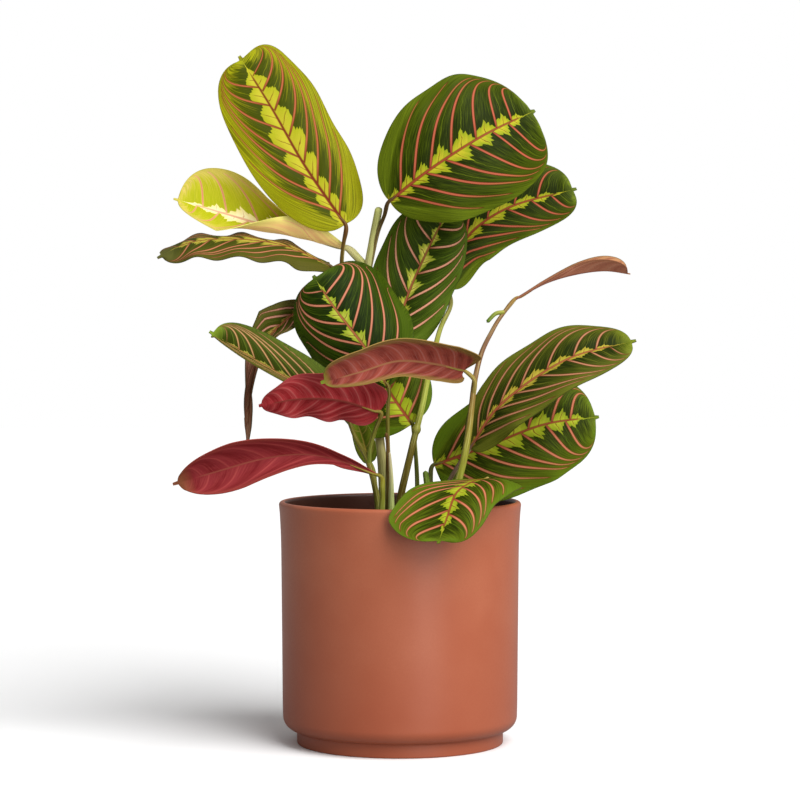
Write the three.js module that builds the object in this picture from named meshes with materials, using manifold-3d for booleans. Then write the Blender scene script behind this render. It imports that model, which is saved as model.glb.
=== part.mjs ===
// A potted prayer plant at its real size, in millimetres. +Z is up, the pot stands on Z = 0 with its axis
// on Z, and the foliage faces the side of -Y.
import * as THREE from "three";
import { mergeVertices } from "three/addons/utils/BufferGeometryUtils.js";
import Module from "manifold-3d";

const wasm = await Module();
wasm.setup();

// The pot: a straight-sided cylinder that flares a little to a rounded lip, on a narrower foot.
const POT_HEIGHT = 140;
const LIP_RADIUS = 70;
const WAIST_RADIUS = 68;
const WALL = 4;
const LIP_ROUND = 2;
const FOOT_RADIUS = 59.7;
const FOOT_HEIGHT = 8;
const FOOT_EDGE = 0.8;
const CORNER_RADIUS = 67.8;
const CORNER_ROUND = 8;
const FLOOR_THICKNESS = 6;
const INNER_STRAIGHT_DOWN_TO = 120;
const POT_SEGMENTS = 56;
const CORNER_STEPS = 5;
const LIP_STEPS = 6;
const INNER_STEPS = 2;

// Radius and height up the outside wall, where it starts to flare.
const WALL_OUTLINE = [[68, 25], [68.7, 111], [69, 123], [69.5, 133]];

// The soil: it fills the pot to a little below the lip, and the stems stand in plain holes in it.
const SOIL_TOP = 122;
const SOIL_LUMP = 1.4;
const RIPPLE_WIDE = 6;
const RIPPLE_DEEP = 7;
const RIPPLE_SLANT = 9;
const RIPPLE_FINE = 5;
const MIDDLE_SHARE = 0.6;
const FINE_SHARE = 0.4;
const COARSE_START = 0.4;
const FINE_START = 1;
const SOIL_SHORT_OF_WALL = 0.5;
const SOIL_RINGS = 7;
const SOIL_SEGMENTS = 36;
const ROOT_DEPTH = 15;
const HOLE_CLEARANCE = 0.5;

// What touches keeps this gap, and corners nearer than MERGE_WITHIN are one.
const GAP = 0.3;
const MERGE_WITHIN = 1e-4;

// Leaf blades and stems.
const BLADE_THICKNESS = 0.7;
const BLADE_ROW = 7.5;
const BLADE_COLUMN = 7;
const BASE_HALF_WIDTH = 0.8;
const OPEN_HALF_WIDTH = 6;
const OUTLINE_SHARE = 0.975;
const TIP_SHARE = 0.07;
const TIP_START = 0.85;
const TIP_LENGTH = 0.1;
const LEFT_TO_RIGHT_WAVE = 2.1;
const LEAST_BEND = 1e-4;
const CURVE_DIVISIONS = 400;
const PETIOLE_GAP = 0.5;
const PETIOLE_UNDER = 0.6;
const STEM_SIDES = 6;
const STEM_STEP = 8;
const KNOT_ACROSS = 0.85;
const KNOT_ALONG = 1.3;
const KNOT_SIDES = 10;
const KNOT_RINGS = 8;

// Each leaf is given by the midrib from base to tip, the greatest half widths left and right of it as seen
// from above with the tip up, the way that its upper face looks at the base and at the tip, the share of
// the length where each half is widest and how full its outline is. fold is the angle in degrees that each
// half leaves the midrib at, and curl how far it bends on from there to its margin, at even steps from base
// to tip. lobes sweep each half back past the base and on past the tip, and wave ripples the margins.
const LEAVES = {
  leaf_tall_left: {
    midrib: [[-32, 14, 300], [-56, 20, 335], [-75, 28, 368], [-95, 42, 400]],
    halves: [29, 29],
    faces: [[0.1, -1, 0.35], [0.1, -1, 0.3]],
    widest: [0.52, 0.56],
    fullness: [2.3, 2.9],
    fold: [[10, 6], [8, 0]],
    curl: [[-25, -20], [-25, -20]],
    lobes: [[0.1, 0.2], [0.1, 0.5]],
    wave: { height: 1, count: 3, start: 0 },
  },
  leaf_pale_unrolling: {
    midrib: [[-32, 28, 287], [-59, 30, 294], [-94, 28, 304], [-132, 18, 315]],
    halves: [22, 25],
    faces: [[0, -0.5, 0.85], [0, -0.5, 0.85]],
    widest: [0.5, 0.74],
    fullness: [2.4, 2.2],
    fold: [[0, -10, -20, -20, -10], [30, 35, 40, 40]],
    curl: [[90, 190, 110, 30, 20], [100, 160, 110, 40, 10]],
  },
  leaf_narrow_left: {
    midrib: [[-41, 16, 276], [-65, 8, 287], [-93, 0, 291], [-120, -6, 289], [-139, -10, 280]],
    halves: [20, 20],
    faces: [[0, -0.6, 0.8], [0, -0.6, 0.8]],
    widest: [0.5, 0.5],
    fullness: [2.4, 2.4],
    fold: [[12], [-20]],
    curl: [[-20], [-15]],
    wave: { height: 1.8, count: 4, start: 0 },
  },
  leaf_top_round: {
    midrib: [[-6, 2, 313], [17, 0, 331], [48, 6, 351], [79, 28, 367]],
    halves: [42, 40],
    faces: [[0.1, -1, 0.25], [0.2, -1, 0.25]],
    widest: [0.58, 0.6],
    fullness: [2.25, 2.5],
    fold: [[6], [6]],
    curl: [[-30], [-35]],
    lobes: [[0.15, 0], [0.15, 0.15]],
    wave: { height: 1, count: 3, start: 1 },
  },
  leaf_back_right: {
    midrib: [[29, 46, 263], [38, 52, 291], [64, 60, 311], [106, 66, 323]],
    halves: [25, 20],
    faces: [[0.1, -1, 0.3], [0.2, -1, 0.3]],
    widest: [0.55, 0.55],
    fullness: [2.3, 2.4],
    fold: [[10], [5]],
    curl: [[-20], [-30]],
    lobes: [[0, 0.1], [0, 0.3]],
    wave: { height: 1, count: 3, start: 0 },
  },
  leaf_back_middle: {
    midrib: [[-5, 34, 228], [5, 36, 260], [17, 38, 287], [30, 42, 312]],
    halves: [25, 24],
    faces: [[0, -1, 0.1], [0, -1, 0.1]],
    widest: [0.6, 0.48],
    fullness: [2.4, 2.4],
    fold: [[16], [16]],
    curl: [[-30], [-30]],
    wave: { height: 0.8, count: 3, start: 0 },
  },
  leaf_round_middle: {
    midrib: [[-7, -2, 206], [-19, -6, 227], [-38, -6, 252], [-50, -2, 270]],
    halves: [30, 43],
    faces: [[-0.1, -1, 0.3], [-0.1, -1, 0.4]],
    widest: [0.42, 0.6],
    fullness: [2.6, 2.8],
    fold: [[0], [0]],
    curl: [[-50], [-60]],
    lobes: [[0, 0.1], [0, 0.2]],
    wave: { height: 0.6, count: 3, start: 0 },
  },
  leaf_drooping_left: {
    midrib: [[-52, 26, 254], [-67, 20, 244], [-81, 14, 227], [-87, 14, 200], [-89, 16, 173]],
    halves: [19, 16],
    faces: [[-0.4, -1, 0.5], [-0.15, -1, 0]],
    widest: [0.3, 0.3],
    fullness: [0.9, 0.9],
    fold: [[5, 50, 66, 74], [40, 60, 66, 74]],
    curl: [[0, 8], [0, 8]],
  },
  leaf_folded_left: {
    midrib: [[-33, -8, 194], [-57, -12, 207], [-82, -14, 221], [-109, -14, 238]],
    halves: [14, 17],
    faces: [[0, -1, 0.25], [0, -1, 0.25]],
    widest: [0.5, 0.5],
    fullness: [2.2, 2.6],
    fold: [[70], [5]],
    curl: [[0], [-20]],
  },
  leaf_turned_upper: {
    midrib: [[36, -22, 216], [20, -36, 220], [-1, -50, 222], [-22, -58, 216], [-44, -60, 210]],
    halves: [22, 12],
    faces: [[0, 0.9, 0.4], [0, 0.9, 0.4]],
    widest: [0.38, 0.3],
    fullness: [3.4, 2],
    fold: [[0], [-15]],
    curl: [[-60], [-100, -95, -60]],
  },
  leaf_turned_middle: {
    midrib: [[-12, -18, 192], [-34, -24, 199], [-57, -28, 200], [-80, -30, 196]],
    halves: [18, 13],
    faces: [[0, 0.8, 0.4], [0, 0.8, 0.4]],
    widest: [0.34, 0.4],
    fullness: [1.8, 2],
    fold: [[0], [0]],
    curl: [[0], [0]],
    lobes: [[0.3, 0], [0.1, 0]],
    wave: { height: 2.2, count: 3, start: 1 },
  },
  leaf_turned_low: {
    midrib: [
      [-12, -22, 156],
      [-31, -30, 164],
      [-53, -38, 169],
      [-77, -46, 167],
      [-103, -50, 160],
      [-127, -52, 153],
    ],
    halves: [17, 16],
    faces: [[0.1, 0.8, 0.6], [-0.1, 0.9, 0.5]],
    widest: [0.72, 0.72],
    fullness: [1.6, 1.6],
    fold: [[5], [-85, -60, -25]],
    curl: [[-30], [-50]],
  },
  leaf_low_middle: {
    midrib: [[7, 8, 184], [-5, 14, 201], [-16, 19, 220], [-25, 24, 236]],
    halves: [31, 25],
    faces: [[0, -1, 0.2], [0, -1, 0.2]],
    widest: [0.5, 0.5],
    fullness: [2.4, 2.4],
    fold: [[5], [5]],
    curl: [[-20], [-20]],
  },
  leaf_right_upper: {
    midrib: [[40, -14, 171], [58, -24, 197], [94, -30, 222], [134, -26, 233]],
    halves: [21.5, 20],
    faces: [[0.1, -0.9, 0.6], [0.1, -0.9, 0.6]],
    widest: [0.58, 0.54],
    fullness: [2.1, 2.3],
    fold: [[5], [25]],
    curl: [[-25], [-30]],
    wave: { height: 1, count: 3, start: 1 },
  },
  leaf_right_lower: {
    midrib: [[20, 10, 160], [52, 6, 172], [84, 6, 184], [116, 14, 188]],
    halves: [30, 33],
    faces: [[0.1, -1, 0.35], [0.1, -1, 0.2]],
    widest: [0.54, 0.48],
    fullness: [2.6, 2.6],
    fold: [[5], [5]],
    curl: [[-30], [-30]],
    wave: { height: 0.8, count: 3, start: 0 },
  },
  leaf_over_lip: {
    midrib: [[49, -30, 155], [40, -51, 154], [31, -70, 149], [26, -81, 137], [21, -87, 123]],
    halves: [24, 32],
    faces: [[-0.25, -0.4, 1], [-0.45, -1, 0.45]],
    widest: [0.36, 0.74],
    fullness: [2.8, 1.5],
    fold: [[0], [0]],
    curl: [[-30], [20]],
    lobes: [[0.3, 0], [-0.4, 0.55]],
  },
  leaf_withered_right: {
    midrib: [[67, 6, 257], [84, 5, 266], [101, 4, 271], [118, 2, 273], [133, 2, 271]],
    halves: [9, 9],
    faces: [[0, -0.2, 1], [0, -0.2, 1]],
    widest: [0.85, 0.85],
    fullness: [2.2, 2.2],
    fold: [[80, 30], [80, 30]],
    curl: [[40, 20], [40, 20]],
  },
  leaf_small_low: {
    midrib: [[-17, 2, 162], [-20, 2, 170], [-22, 2, 177], [-25, 2, 186]],
    halves: [7, 6],
    faces: [[0.3, -1, 0], [0.3, -1, 0]],
    widest: [0.5, 0.5],
    fullness: [2.2, 2.2],
    fold: [[30], [30]],
    curl: [[0], [0]],
  },
};

// Each stem is one or more tapered rods. A rod runs through its points, has a radius at its foot and at its
// end, and either ends free or carries a leaf. rooted rods go on down into the soil.
const STEMS = {
  stem_back: [
    {
      points: [
        [-9, 8, 128],
        [-10, 10, 157],
        [-12, 16, 177],
        [-14, 26, 196],
        [-17, 28, 217],
        [-19, 28, 241],
        [-20, 27, 265],
        [-16, 19, 290],
        [-12, 10, 310],
      ],
      radii: [3, 1.6],
      rooted: true,
    },
    {
      points: [[-20, 27, 262], [-17, 23, 278], [-13, 15, 295], [-9, 7, 305]],
      radii: [1.5, 1],
      leaf: "leaf_top_round",
    },
    { points: [[-19, 25, 274], [-25, 27, 281]], radii: [2.7, 1.7], leaf: "leaf_pale_unrolling" },
    {
      points: [[-18, 28, 224], [-25, 28, 239], [-32, 24, 256], [-34, 20, 275], [-33, 17, 288]],
      radii: [1.5, 1.1],
      leaf: "leaf_tall_left",
    },
    {
      points: [[-24, 28, 236], [-32, 24, 255], [-37, 20, 268]],
      radii: [1.4, 1.1],
      leaf: "leaf_narrow_left",
    },
    {
      points: [[-18, 28, 224], [-32, 31, 240], [-44, 29, 251]],
      radii: [1.3, 1],
      leaf: "leaf_drooping_left",
    },
  ],
  stem_left: [
    {
      points: [[-12, -12, 130], [-14, -12, 147], [-19, -10, 165], [-26, -9, 178]],
      radii: [2.2, 1.1],
      leaf: "leaf_folded_left",
      rooted: true,
    },
    { points: [[-14, -12, 148], [-15, -2, 156]], radii: [1.3, 1], leaf: "leaf_small_low" },
    {
      points: [[-18, -10.3, 162], [-17, -12, 171], [-14, -13, 182]],
      radii: [1.4, 1],
      leaf: "leaf_turned_middle",
    },
  ],
  stem_low_left: [
    {
      points: [[-11, -26, 129], [-10, -26, 142], [-10, -26, 149]],
      radii: [2.9, 1.1],
      leaf: "leaf_turned_low",
      rooted: true,
    },
  ],
  sheath_middle: [
    { points: [[-5, -14, 130], [-5, -14, 153], [-6, -13, 169]], radii: [3, 0.7], rooted: true },
  ],
  stub_old: [
    {
      points: [[-7, -8, 129], [-7, -8, 158], [-7, -8, 172], [-8, -10, 180]],
      radii: [1.8, 1],
      rooted: true,
    },
  ],
  stem_round_middle: [
    {
      points: [[-6, -1, 129], [-6, -1, 152], [-7, 0, 175], [-7, 2, 193]],
      radii: [1.4, 1.1],
      leaf: "leaf_round_middle",
      rooted: true,
    },
  ],
  stem_tall_right: [
    {
      points: [
        [-2, 4, 129],
        [1, 4, 145],
        [5, 4, 162],
        [9, 4, 179],
        [13, 5, 195],
        [16, 9, 210],
        [20, 16, 226],
        [24, 28, 240],
        [30, 39, 253],
      ],
      radii: [2.4, 1.2],
      leaf: "leaf_back_right",
      rooted: true,
      swelling: { at: [9.5, 4, 181], radius: 3 },
    },
    {
      points: [[21, 18, 229], [15, 30, 226], [4, 37, 222]],
      radii: [1.4, 1.1],
      leaf: "leaf_back_middle",
    },
  ],
  stem_low_middle: [
    {
      points: [[10, 10, 128], [10, 10, 151], [9, 9, 169]],
      radii: [1.6, 1.1],
      leaf: "leaf_low_middle",
      rooted: true,
    },
  ],
  shoot_young: [
    { points: [[18, -8, 129], [16, -8, 147], [14.5, -8, 158]], radii: [2.9, 1.6], rooted: true },
  ],
  stem_right_lower: [
    {
      points: [[19, 3, 129], [19, 6, 142], [18, 10, 151]],
      radii: [1.7, 1.1],
      leaf: "leaf_right_lower",
      rooted: true,
    },
  ],
  stem_right_upper: [
    {
      points: [[22, -14, 130], [25, -14, 145], [32, -14, 159]],
      radii: [1.6, 1.1],
      leaf: "leaf_right_upper",
      rooted: true,
    },
  ],
  stem_far_right: [
    {
      points: [
        [31, -28, 131],
        [32, -28, 148],
        [36, -27, 164],
        [39, -24, 180],
        [41, -20, 196],
        [43, -15, 211],
        [47, -9, 226],
        [53, -3, 238],
        [58, 2, 246],
      ],
      radii: [2.6, 1],
      leaf: "leaf_withered_right",
      rooted: true,
    },
    { points: [[42, -18, 202], [42.5, -20, 210]], radii: [1.4, 0.9], leaf: "leaf_turned_upper" },
    { points: [[60, 3, 249], [55, 1, 248], [50, 0, 243]], radii: [1.3, 1.1] },
  ],
  stem_over_lip: [
    {
      points: [[38, -18, 130], [40, -18, 142], [46, -22, 151]],
      radii: [1.6, 1.1],
      leaf: "leaf_over_lip",
      rooted: true,
    },
  ],
};

function asVectors(points) {
  return points.map((point) => new THREE.Vector3(...point));
}

function curveThrough(points) {
  const curve = new THREE.CatmullRomCurve3(asVectors(points), false, "catmullrom", 0.5);
  curve.arcLengthDivisions = CURVE_DIVISIONS;
  return curve;
}

// A closed mesh as a solid that can be joined and cut.
function solidOf(geometry) {
  const bare = geometry.clone();
  bare.deleteAttribute("normal");
  bare.deleteAttribute("uv");
  const merged = mergeVertices(bare, MERGE_WITHIN);
  return new wasm.Manifold(
    new wasm.Mesh({
      numProp: 3,
      vertProperties: merged.attributes.position.array,
      triVerts: new Uint32Array(merged.index.array),
    }),
  );
}

function geometryOf(solid) {
  const mesh = solid.getMesh();
  const geometry = new THREE.BufferGeometry();
  geometry.setAttribute("position", new THREE.BufferAttribute(mesh.vertProperties, 3));
  geometry.setIndex(new THREE.BufferAttribute(mesh.triVerts, 1));
  return geometry;
}

// Points on a round corner about a centre, from one angle to another in degrees.
function roundCorner(x, z, radius, from, to, steps) {
  return Array.from({ length: steps + 1 }, (_, i) => {
    const angle = THREE.MathUtils.degToRad(THREE.MathUtils.lerp(from, to, i / steps));
    return new THREE.Vector2(x + radius * Math.cos(angle), z + radius * Math.sin(angle));
  });
}

// Turns a profile in (radius, height) about the Z axis.
function turned(profile, segments) {
  return new THREE.LatheGeometry(profile, segments).rotateX(Math.PI / 2);
}

function potGeometry() {
  const inner = LIP_RADIUS - WALL;
  const floorInner = WAIST_RADIUS - WALL;
  const floorTop = FOOT_HEIGHT + FLOOR_THICKNESS;
  const corner = CORNER_RADIUS - CORNER_ROUND;
  const outline = [
    new THREE.Vector2(0, 0),
    new THREE.Vector2(FOOT_RADIUS - FOOT_EDGE, 0),
    new THREE.Vector2(FOOT_RADIUS, FOOT_EDGE),
    new THREE.Vector2(FOOT_RADIUS, FOOT_HEIGHT),
    ...roundCorner(corner, FOOT_HEIGHT + CORNER_ROUND, CORNER_ROUND, -90, 0, CORNER_STEPS).slice(1),
    ...WALL_OUTLINE.map(([radius, height]) => new THREE.Vector2(radius, height)),
    ...roundCorner(LIP_RADIUS - LIP_ROUND, POT_HEIGHT - LIP_ROUND, LIP_ROUND, 0, 180, LIP_STEPS),
    new THREE.Vector2(inner, INNER_STRAIGHT_DOWN_TO),
    ...roundCorner(floorInner - LIP_ROUND, floorTop + LIP_ROUND, LIP_ROUND, 0, -90, INNER_STEPS),
    new THREE.Vector2(0, floorTop),
  ];
  return turned(outline, POT_SEGMENTS);
}

// Height that the lumps of the soil add at a place on its surface: three crossed ripples.
function soilLump(x, y) {
  const coarse = Math.sin(x / RIPPLE_WIDE + COARSE_START) * Math.cos(y / RIPPLE_DEEP);
  const middle = MIDDLE_SHARE * Math.sin((x + 2 * y) / RIPPLE_SLANT);
  const fine = FINE_SHARE * Math.cos((2 * x - y) / RIPPLE_FINE + FINE_START);
  return (SOIL_LUMP / 2) * (coarse + middle + fine);
}

// The soil fills the pot, GAP clear of it, with a hole for each stem that stands in it.
function soilGeometry(roots) {
  const floor = FOOT_HEIGHT + FLOOR_THICKNESS + GAP;
  const low = WAIST_RADIUS - WALL - GAP - LIP_ROUND;
  const high = LIP_RADIUS - WALL - SOIL_SHORT_OF_WALL;
  const top = Array.from({ length: SOIL_RINGS }, (_, i) => {
    return new THREE.Vector2(high * (1 - i / (SOIL_RINGS - 1)), SOIL_TOP);
  });
  const profile = [new THREE.Vector2(0, floor), new THREE.Vector2(low, floor), ...top];
  const geometry = turned(profile, SOIL_SEGMENTS);
  const places = geometry.attributes.position;
  for (let i = 0; i < places.count; i++) {
    const x = places.getX(i);
    const y = places.getY(i);
    if (places.getZ(i) > SOIL_TOP - 1) places.setZ(i, SOIL_TOP + soilLump(x, y));
  }
  const holes = roots.map((rod) => {
    const length = 2 * ROOT_DEPTH;
    const [x, y] = rod.points[0];
    const hole = new THREE.CylinderGeometry(
      rod.radii[0] + HOLE_CLEARANCE,
      rod.radii[0] + HOLE_CLEARANCE,
      length,
      2 * STEM_SIDES,
    );
    hole.rotateX(Math.PI / 2);
    hole.translate(x, y, SOIL_TOP - ROOT_DEPTH - GAP + length / 2);
    return solidOf(hole);
  });
  const cut = holes.reduce((soil, hole) => soil.subtract(hole), solidOf(geometry));
  return geometryOf(cut);
}

// A value given at even steps along a leaf, read at a share t of its length.
function along(values, t) {
  const place = Math.min(t, 1) * (values.length - 1);
  const first = Math.min(Math.floor(place), Math.max(values.length - 2, 0));
  const next = Math.min(first + 1, values.length - 1);
  return THREE.MathUtils.lerp(values[first], values[next], place - first);
}

// Half width of a leaf at a share t of its length, as a share of the greatest: a full oval with a small
// point at its tip.
function outlineAt(t, widest, fullness) {
  const skew = Math.log(0.5) / Math.log(widest);
  const place = Math.min(t / OUTLINE_SHARE, 1);
  const oval = Math.max(1 - Math.abs(2 * place ** skew - 1) ** fullness, 0) ** (1 / fullness);
  const tip = t > TIP_START ? TIP_SHARE * Math.min((1 - t) / TIP_LENGTH, 1) : 0;
  return Math.hypot(oval, tip);
}

// Where a half blade that leaves the midrib at the angle fold and bends evenly on by curl has got to at a
// share of its width: across and up, as shares of the half width, and the angle there.
function bentHalf(fold, curl, share) {
  const bend = Math.abs(curl) < LEAST_BEND ? LEAST_BEND : curl;
  const angle = fold + bend * share;
  return {
    across: (Math.sin(angle) - Math.sin(fold)) / bend,
    up: (Math.cos(fold) - Math.cos(angle)) / bend,
    angle,
  };
}

// The middle surface of a blade as rows from base to tip, each from the right margin to the left, of places
// with the way that the blade faces there. Where a half is narrower than OPEN_HALF_WIDTH it bends less, so
// that the base and the tip lie open.
function bladeRows(leaf, rows, columns) {
  const curve = curveThrough(leaf.midrib);
  const [baseFace, tipFace] = asVectors(leaf.faces);
  const wave = leaf.wave ?? { height: 0, count: 1, start: 0 };
  const lobes = leaf.lobes ?? [[0, 0], [0, 0]];
  return Array.from({ length: rows + 1 }, (_, row) => {
    const t = 0.5 - 0.5 * Math.cos((Math.PI * row) / rows);
    const place = curve.getPointAt(t);
    const forward = curve.getTangentAt(t);
    const face = baseFace.clone().lerp(tipFace, t);
    const normal = face.addScaledVector(forward, -face.dot(forward)).normalize();
    const left = normal.clone().cross(forward);
    return Array.from({ length: 2 * columns + 1 }, (_, column) => {
      const across = column / columns - 1;
      const share = Math.abs(across);
      const side = across < 0 ? 1 : 0;
      const width = outlineAt(t, leaf.widest[side], leaf.fullness[side]);
      const half = leaf.halves[side] * width + BASE_HALF_WIDTH;
      const open = Math.min(half / OPEN_HALF_WIDTH, 1);
      const fold = open * THREE.MathUtils.degToRad(along(leaf.fold[side], t));
      const curl = open * THREE.MathUtils.degToRad(along(leaf.curl[side], t));
      const bent = bentHalf(fold, curl, share);
      const phase = wave.start + side * LEFT_TO_RIGHT_WAVE;
      const swing = Math.sin(2 * Math.PI * wave.count * t + phase) * Math.sqrt(width);
      const ripple = wave.height * share ** 2 * swing;
      const reach = half * bent.across - ripple * Math.sin(bent.angle);
      const rise = half * bent.up + ripple * Math.cos(bent.angle);
      const [baseLobe, tipLobe] = lobes[side];
      const sweep = half * share * (tipLobe * t ** 2 - baseLobe * (1 - t) ** 2);
      const outward = left.clone().multiplyScalar(side === 1 ? -1 : 1);
      const turn = share > 0 ? bent.angle : 0;
      return {
        at: place
          .clone()
          .addScaledVector(outward, reach)
          .addScaledVector(normal, rise)
          .addScaledVector(forward, sweep),
        facing: normal
          .clone()
          .multiplyScalar(Math.cos(turn))
          .addScaledVector(outward, -Math.sin(turn)),
      };
    });
  });
}

// A blade of even thickness: the middle surface moved out to both sides, split into triangles alike on
// both, and closed round its margin.
function bladeGeometry(leaf) {
  const length = curveThrough(leaf.midrib).getLength();
  const rows = Math.round(length / BLADE_ROW);
  const columns = Math.max(3, Math.round(Math.max(...leaf.halves) / BLADE_COLUMN));
  const middle = bladeRows(leaf, rows, columns);
  const last = 2 * columns;
  const at = (row, column) => row * (last + 1) + column;
  const upper = [];
  const lower = [];
  for (const spot of middle.flat()) {
    upper.push(...spot.at.clone().addScaledVector(spot.facing, BLADE_THICKNESS / 2).toArray());
    lower.push(...spot.at.clone().addScaledVector(spot.facing, -BLADE_THICKNESS / 2).toArray());
  }
  const under = upper.length / 3;
  const faces = [];
  for (let row = 0; row < rows; row++) {
    for (let column = 0; column < last; column++) {
      const a = at(row, column);
      const b = at(row + 1, column);
      const c = at(row + 1, column + 1);
      const d = at(row, column + 1);
      faces.push(a, b, c, a, c, d);
      faces.push(under + a, under + c, under + b, under + a, under + d, under + c);
    }
  }
  const margin = [];
  for (let row = 0; row < rows; row++) margin.push(at(row, 0));
  for (let column = 0; column < last; column++) margin.push(at(rows, column));
  for (let row = rows; row > 0; row--) margin.push(at(row, last));
  for (let column = last; column > 0; column--) margin.push(at(0, column));
  margin.forEach((p, i) => {
    const q = margin[(i + 1) % margin.length];
    faces.push(q, p, under + p, q, under + p, under + q);
  });
  const geometry = new THREE.BufferGeometry();
  geometry.setAttribute("position", new THREE.Float32BufferAttribute([...upper, ...lower], 3));
  geometry.setIndex(faces);
  return geometry;
}

// Where the end of a petiole of a radius sits that comes from a place: behind the base of its leaf and on
// its underside, just clear of it however steeply the petiole meets the midrib.
function seatBehind(leaf, from, radius) {
  const [base, start, face] = asVectors([leaf.midrib[0], from, leaf.faces[0]]);
  const forward = curveThrough(leaf.midrib).getTangentAt(0);
  const normal = face.addScaledVector(forward, -face.dot(forward)).normalize();
  const steep = base.clone().sub(start).normalize().cross(forward).length();
  return base
    .addScaledVector(forward, -(PETIOLE_GAP + radius * steep))
    .addScaledVector(normal, -PETIOLE_UNDER * steep)
    .toArray();
}

// The points of a rod, with its root in the soil and its end just short of the leaf that it carries.
function rodPoints(rod) {
  const points = [...rod.points];
  if (rod.rooted) {
    const [x, y] = points[0];
    points.unshift([x, y, SOIL_TOP - ROOT_DEPTH], [x, y, SOIL_TOP - ROOT_DEPTH / 2]);
  }
  if (rod.leaf) points.push(seatBehind(LEAVES[rod.leaf], points.at(-1), rod.radii[1]));
  return points;
}

// A tapered rod: a thin upright cylinder of unit height whose rings are moved onto the curve.
function rodGeometry(rod) {
  const curve = curveThrough(rodPoints(rod));
  const steps = Math.max(2, Math.round(curve.getLength() / STEM_STEP));
  const frames = curve.computeFrenetFrames(steps, false);
  const geometry = new THREE.CylinderGeometry(rod.radii[1], rod.radii[0], 1, STEM_SIDES, steps);
  const places = geometry.attributes.position;
  for (let i = 0; i < places.count; i++) {
    const step = Math.round((places.getY(i) + 0.5) * steps);
    const first = frames.normals[step];
    const second = first.clone().cross(frames.tangents[step]);
    const place = curve
      .getPointAt(step / steps)
      .addScaledVector(first, places.getX(i))
      .addScaledVector(second, places.getZ(i));
    places.setXYZ(i, place.x, place.y, place.z);
  }
  return geometry;
}

// The rods of one stem joined into a solid, with the swelling of a node where one is given.
function stemGeometry(rods) {
  const pieces = rods.map((rod) => solidOf(rodGeometry(rod)));
  for (const { swelling } of rods.filter((rod) => rod.swelling)) {
    const knot = new THREE.SphereGeometry(swelling.radius, KNOT_SIDES, KNOT_RINGS);
    knot.scale(KNOT_ACROSS, KNOT_ACROSS, KNOT_ALONG);
    pieces.push(solidOf(knot.translate(...swelling.at)));
  }
  return geometryOf(pieces.reduce((stem, piece) => stem.add(piece)));
}

function finish(color, roughness) {
  return new THREE.MeshStandardMaterial({ color, roughness, metalness: 0, side: THREE.FrontSide });
}

const TERRACOTTA = finish("#b5654a", 0.55);
const SOIL = finish("#2b1c13", 0.95);
const GREEN_LEAF = finish("#35520f", 0.5);
const LIME_LEAF = finish("#8fa03a", 0.5);
const RED_LEAF = finish("#8f3536", 0.55);
const DRY_LEAF = finish("#a4714f", 0.7);
const GREEN_STEM = finish("#7d8740", 0.55);
const PALE_STEM = finish("#b9bd7e", 0.55);
const BROWN_STEM = finish("#6e5436", 0.6);

const LEAF_FINISH = {
  leaf_tall_left: LIME_LEAF,
  leaf_pale_unrolling: LIME_LEAF,
  leaf_turned_upper: RED_LEAF,
  leaf_turned_middle: RED_LEAF,
  leaf_turned_low: RED_LEAF,
  leaf_withered_right: DRY_LEAF,
};

const STEM_FINISH = {
  stem_back: PALE_STEM,
  sheath_middle: PALE_STEM,
  stub_old: BROWN_STEM,
  stem_right_upper: BROWN_STEM,
};

const plant = new THREE.Group();

function place(name, geometry, material) {
  const mesh = new THREE.Mesh(geometry, material);
  mesh.name = name;
  plant.add(mesh);
}

const rooted = Object.values(STEMS)
  .flat()
  .filter((rod) => rod.rooted);

place("pot", potGeometry(), TERRACOTTA);
place("soil", soilGeometry(rooted), SOIL);
for (const [name, leaf] of Object.entries(LEAVES)) {
  place(name, bladeGeometry(leaf), LEAF_FINISH[name] ?? GREEN_LEAF);
}
for (const [name, rods] of Object.entries(STEMS)) {
  place(name, stemGeometry(rods), STEM_FINISH[name] ?? GREEN_STEM);
}

export default plant;
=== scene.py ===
# %% [markdown]
# # A potted prayer plant
# The real thing is a young prayer plant: eighteen thin leaves with salmon veins and a toothed yellow
# feather along the midrib, on round petioles and pale sheaths, in a satin terracotta-coloured pot.
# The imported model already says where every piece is. This lesson dresses it: it loads that frame, makes
# a finer surface for each piece where the plain one stands, and gives each surface its finish.

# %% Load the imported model
from types import SimpleNamespace
import bpy
import numpy as np
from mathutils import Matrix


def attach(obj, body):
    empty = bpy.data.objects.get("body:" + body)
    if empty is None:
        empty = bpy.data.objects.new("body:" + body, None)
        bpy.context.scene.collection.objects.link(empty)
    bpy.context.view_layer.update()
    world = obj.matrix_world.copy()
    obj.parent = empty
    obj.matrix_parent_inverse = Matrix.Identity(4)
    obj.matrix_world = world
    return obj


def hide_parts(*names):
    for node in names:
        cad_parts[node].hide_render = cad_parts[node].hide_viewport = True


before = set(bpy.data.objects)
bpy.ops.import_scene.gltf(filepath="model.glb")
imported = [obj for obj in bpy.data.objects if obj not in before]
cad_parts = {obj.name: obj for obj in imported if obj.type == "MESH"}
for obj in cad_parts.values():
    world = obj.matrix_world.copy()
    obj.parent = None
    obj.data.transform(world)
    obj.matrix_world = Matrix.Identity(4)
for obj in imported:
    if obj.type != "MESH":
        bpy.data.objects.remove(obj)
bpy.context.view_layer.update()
print("nodes:", len(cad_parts))

# %% [markdown]
# ## The camera
# The picture was taken with a long lens about a metre and a half away, a little above the pot's lip and
# looking down by two degrees. The lens follows from how many picture points one radian takes. Places are
# given in millimetres here and below, as the plant was measured, and Blender counts in metres.

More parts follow.
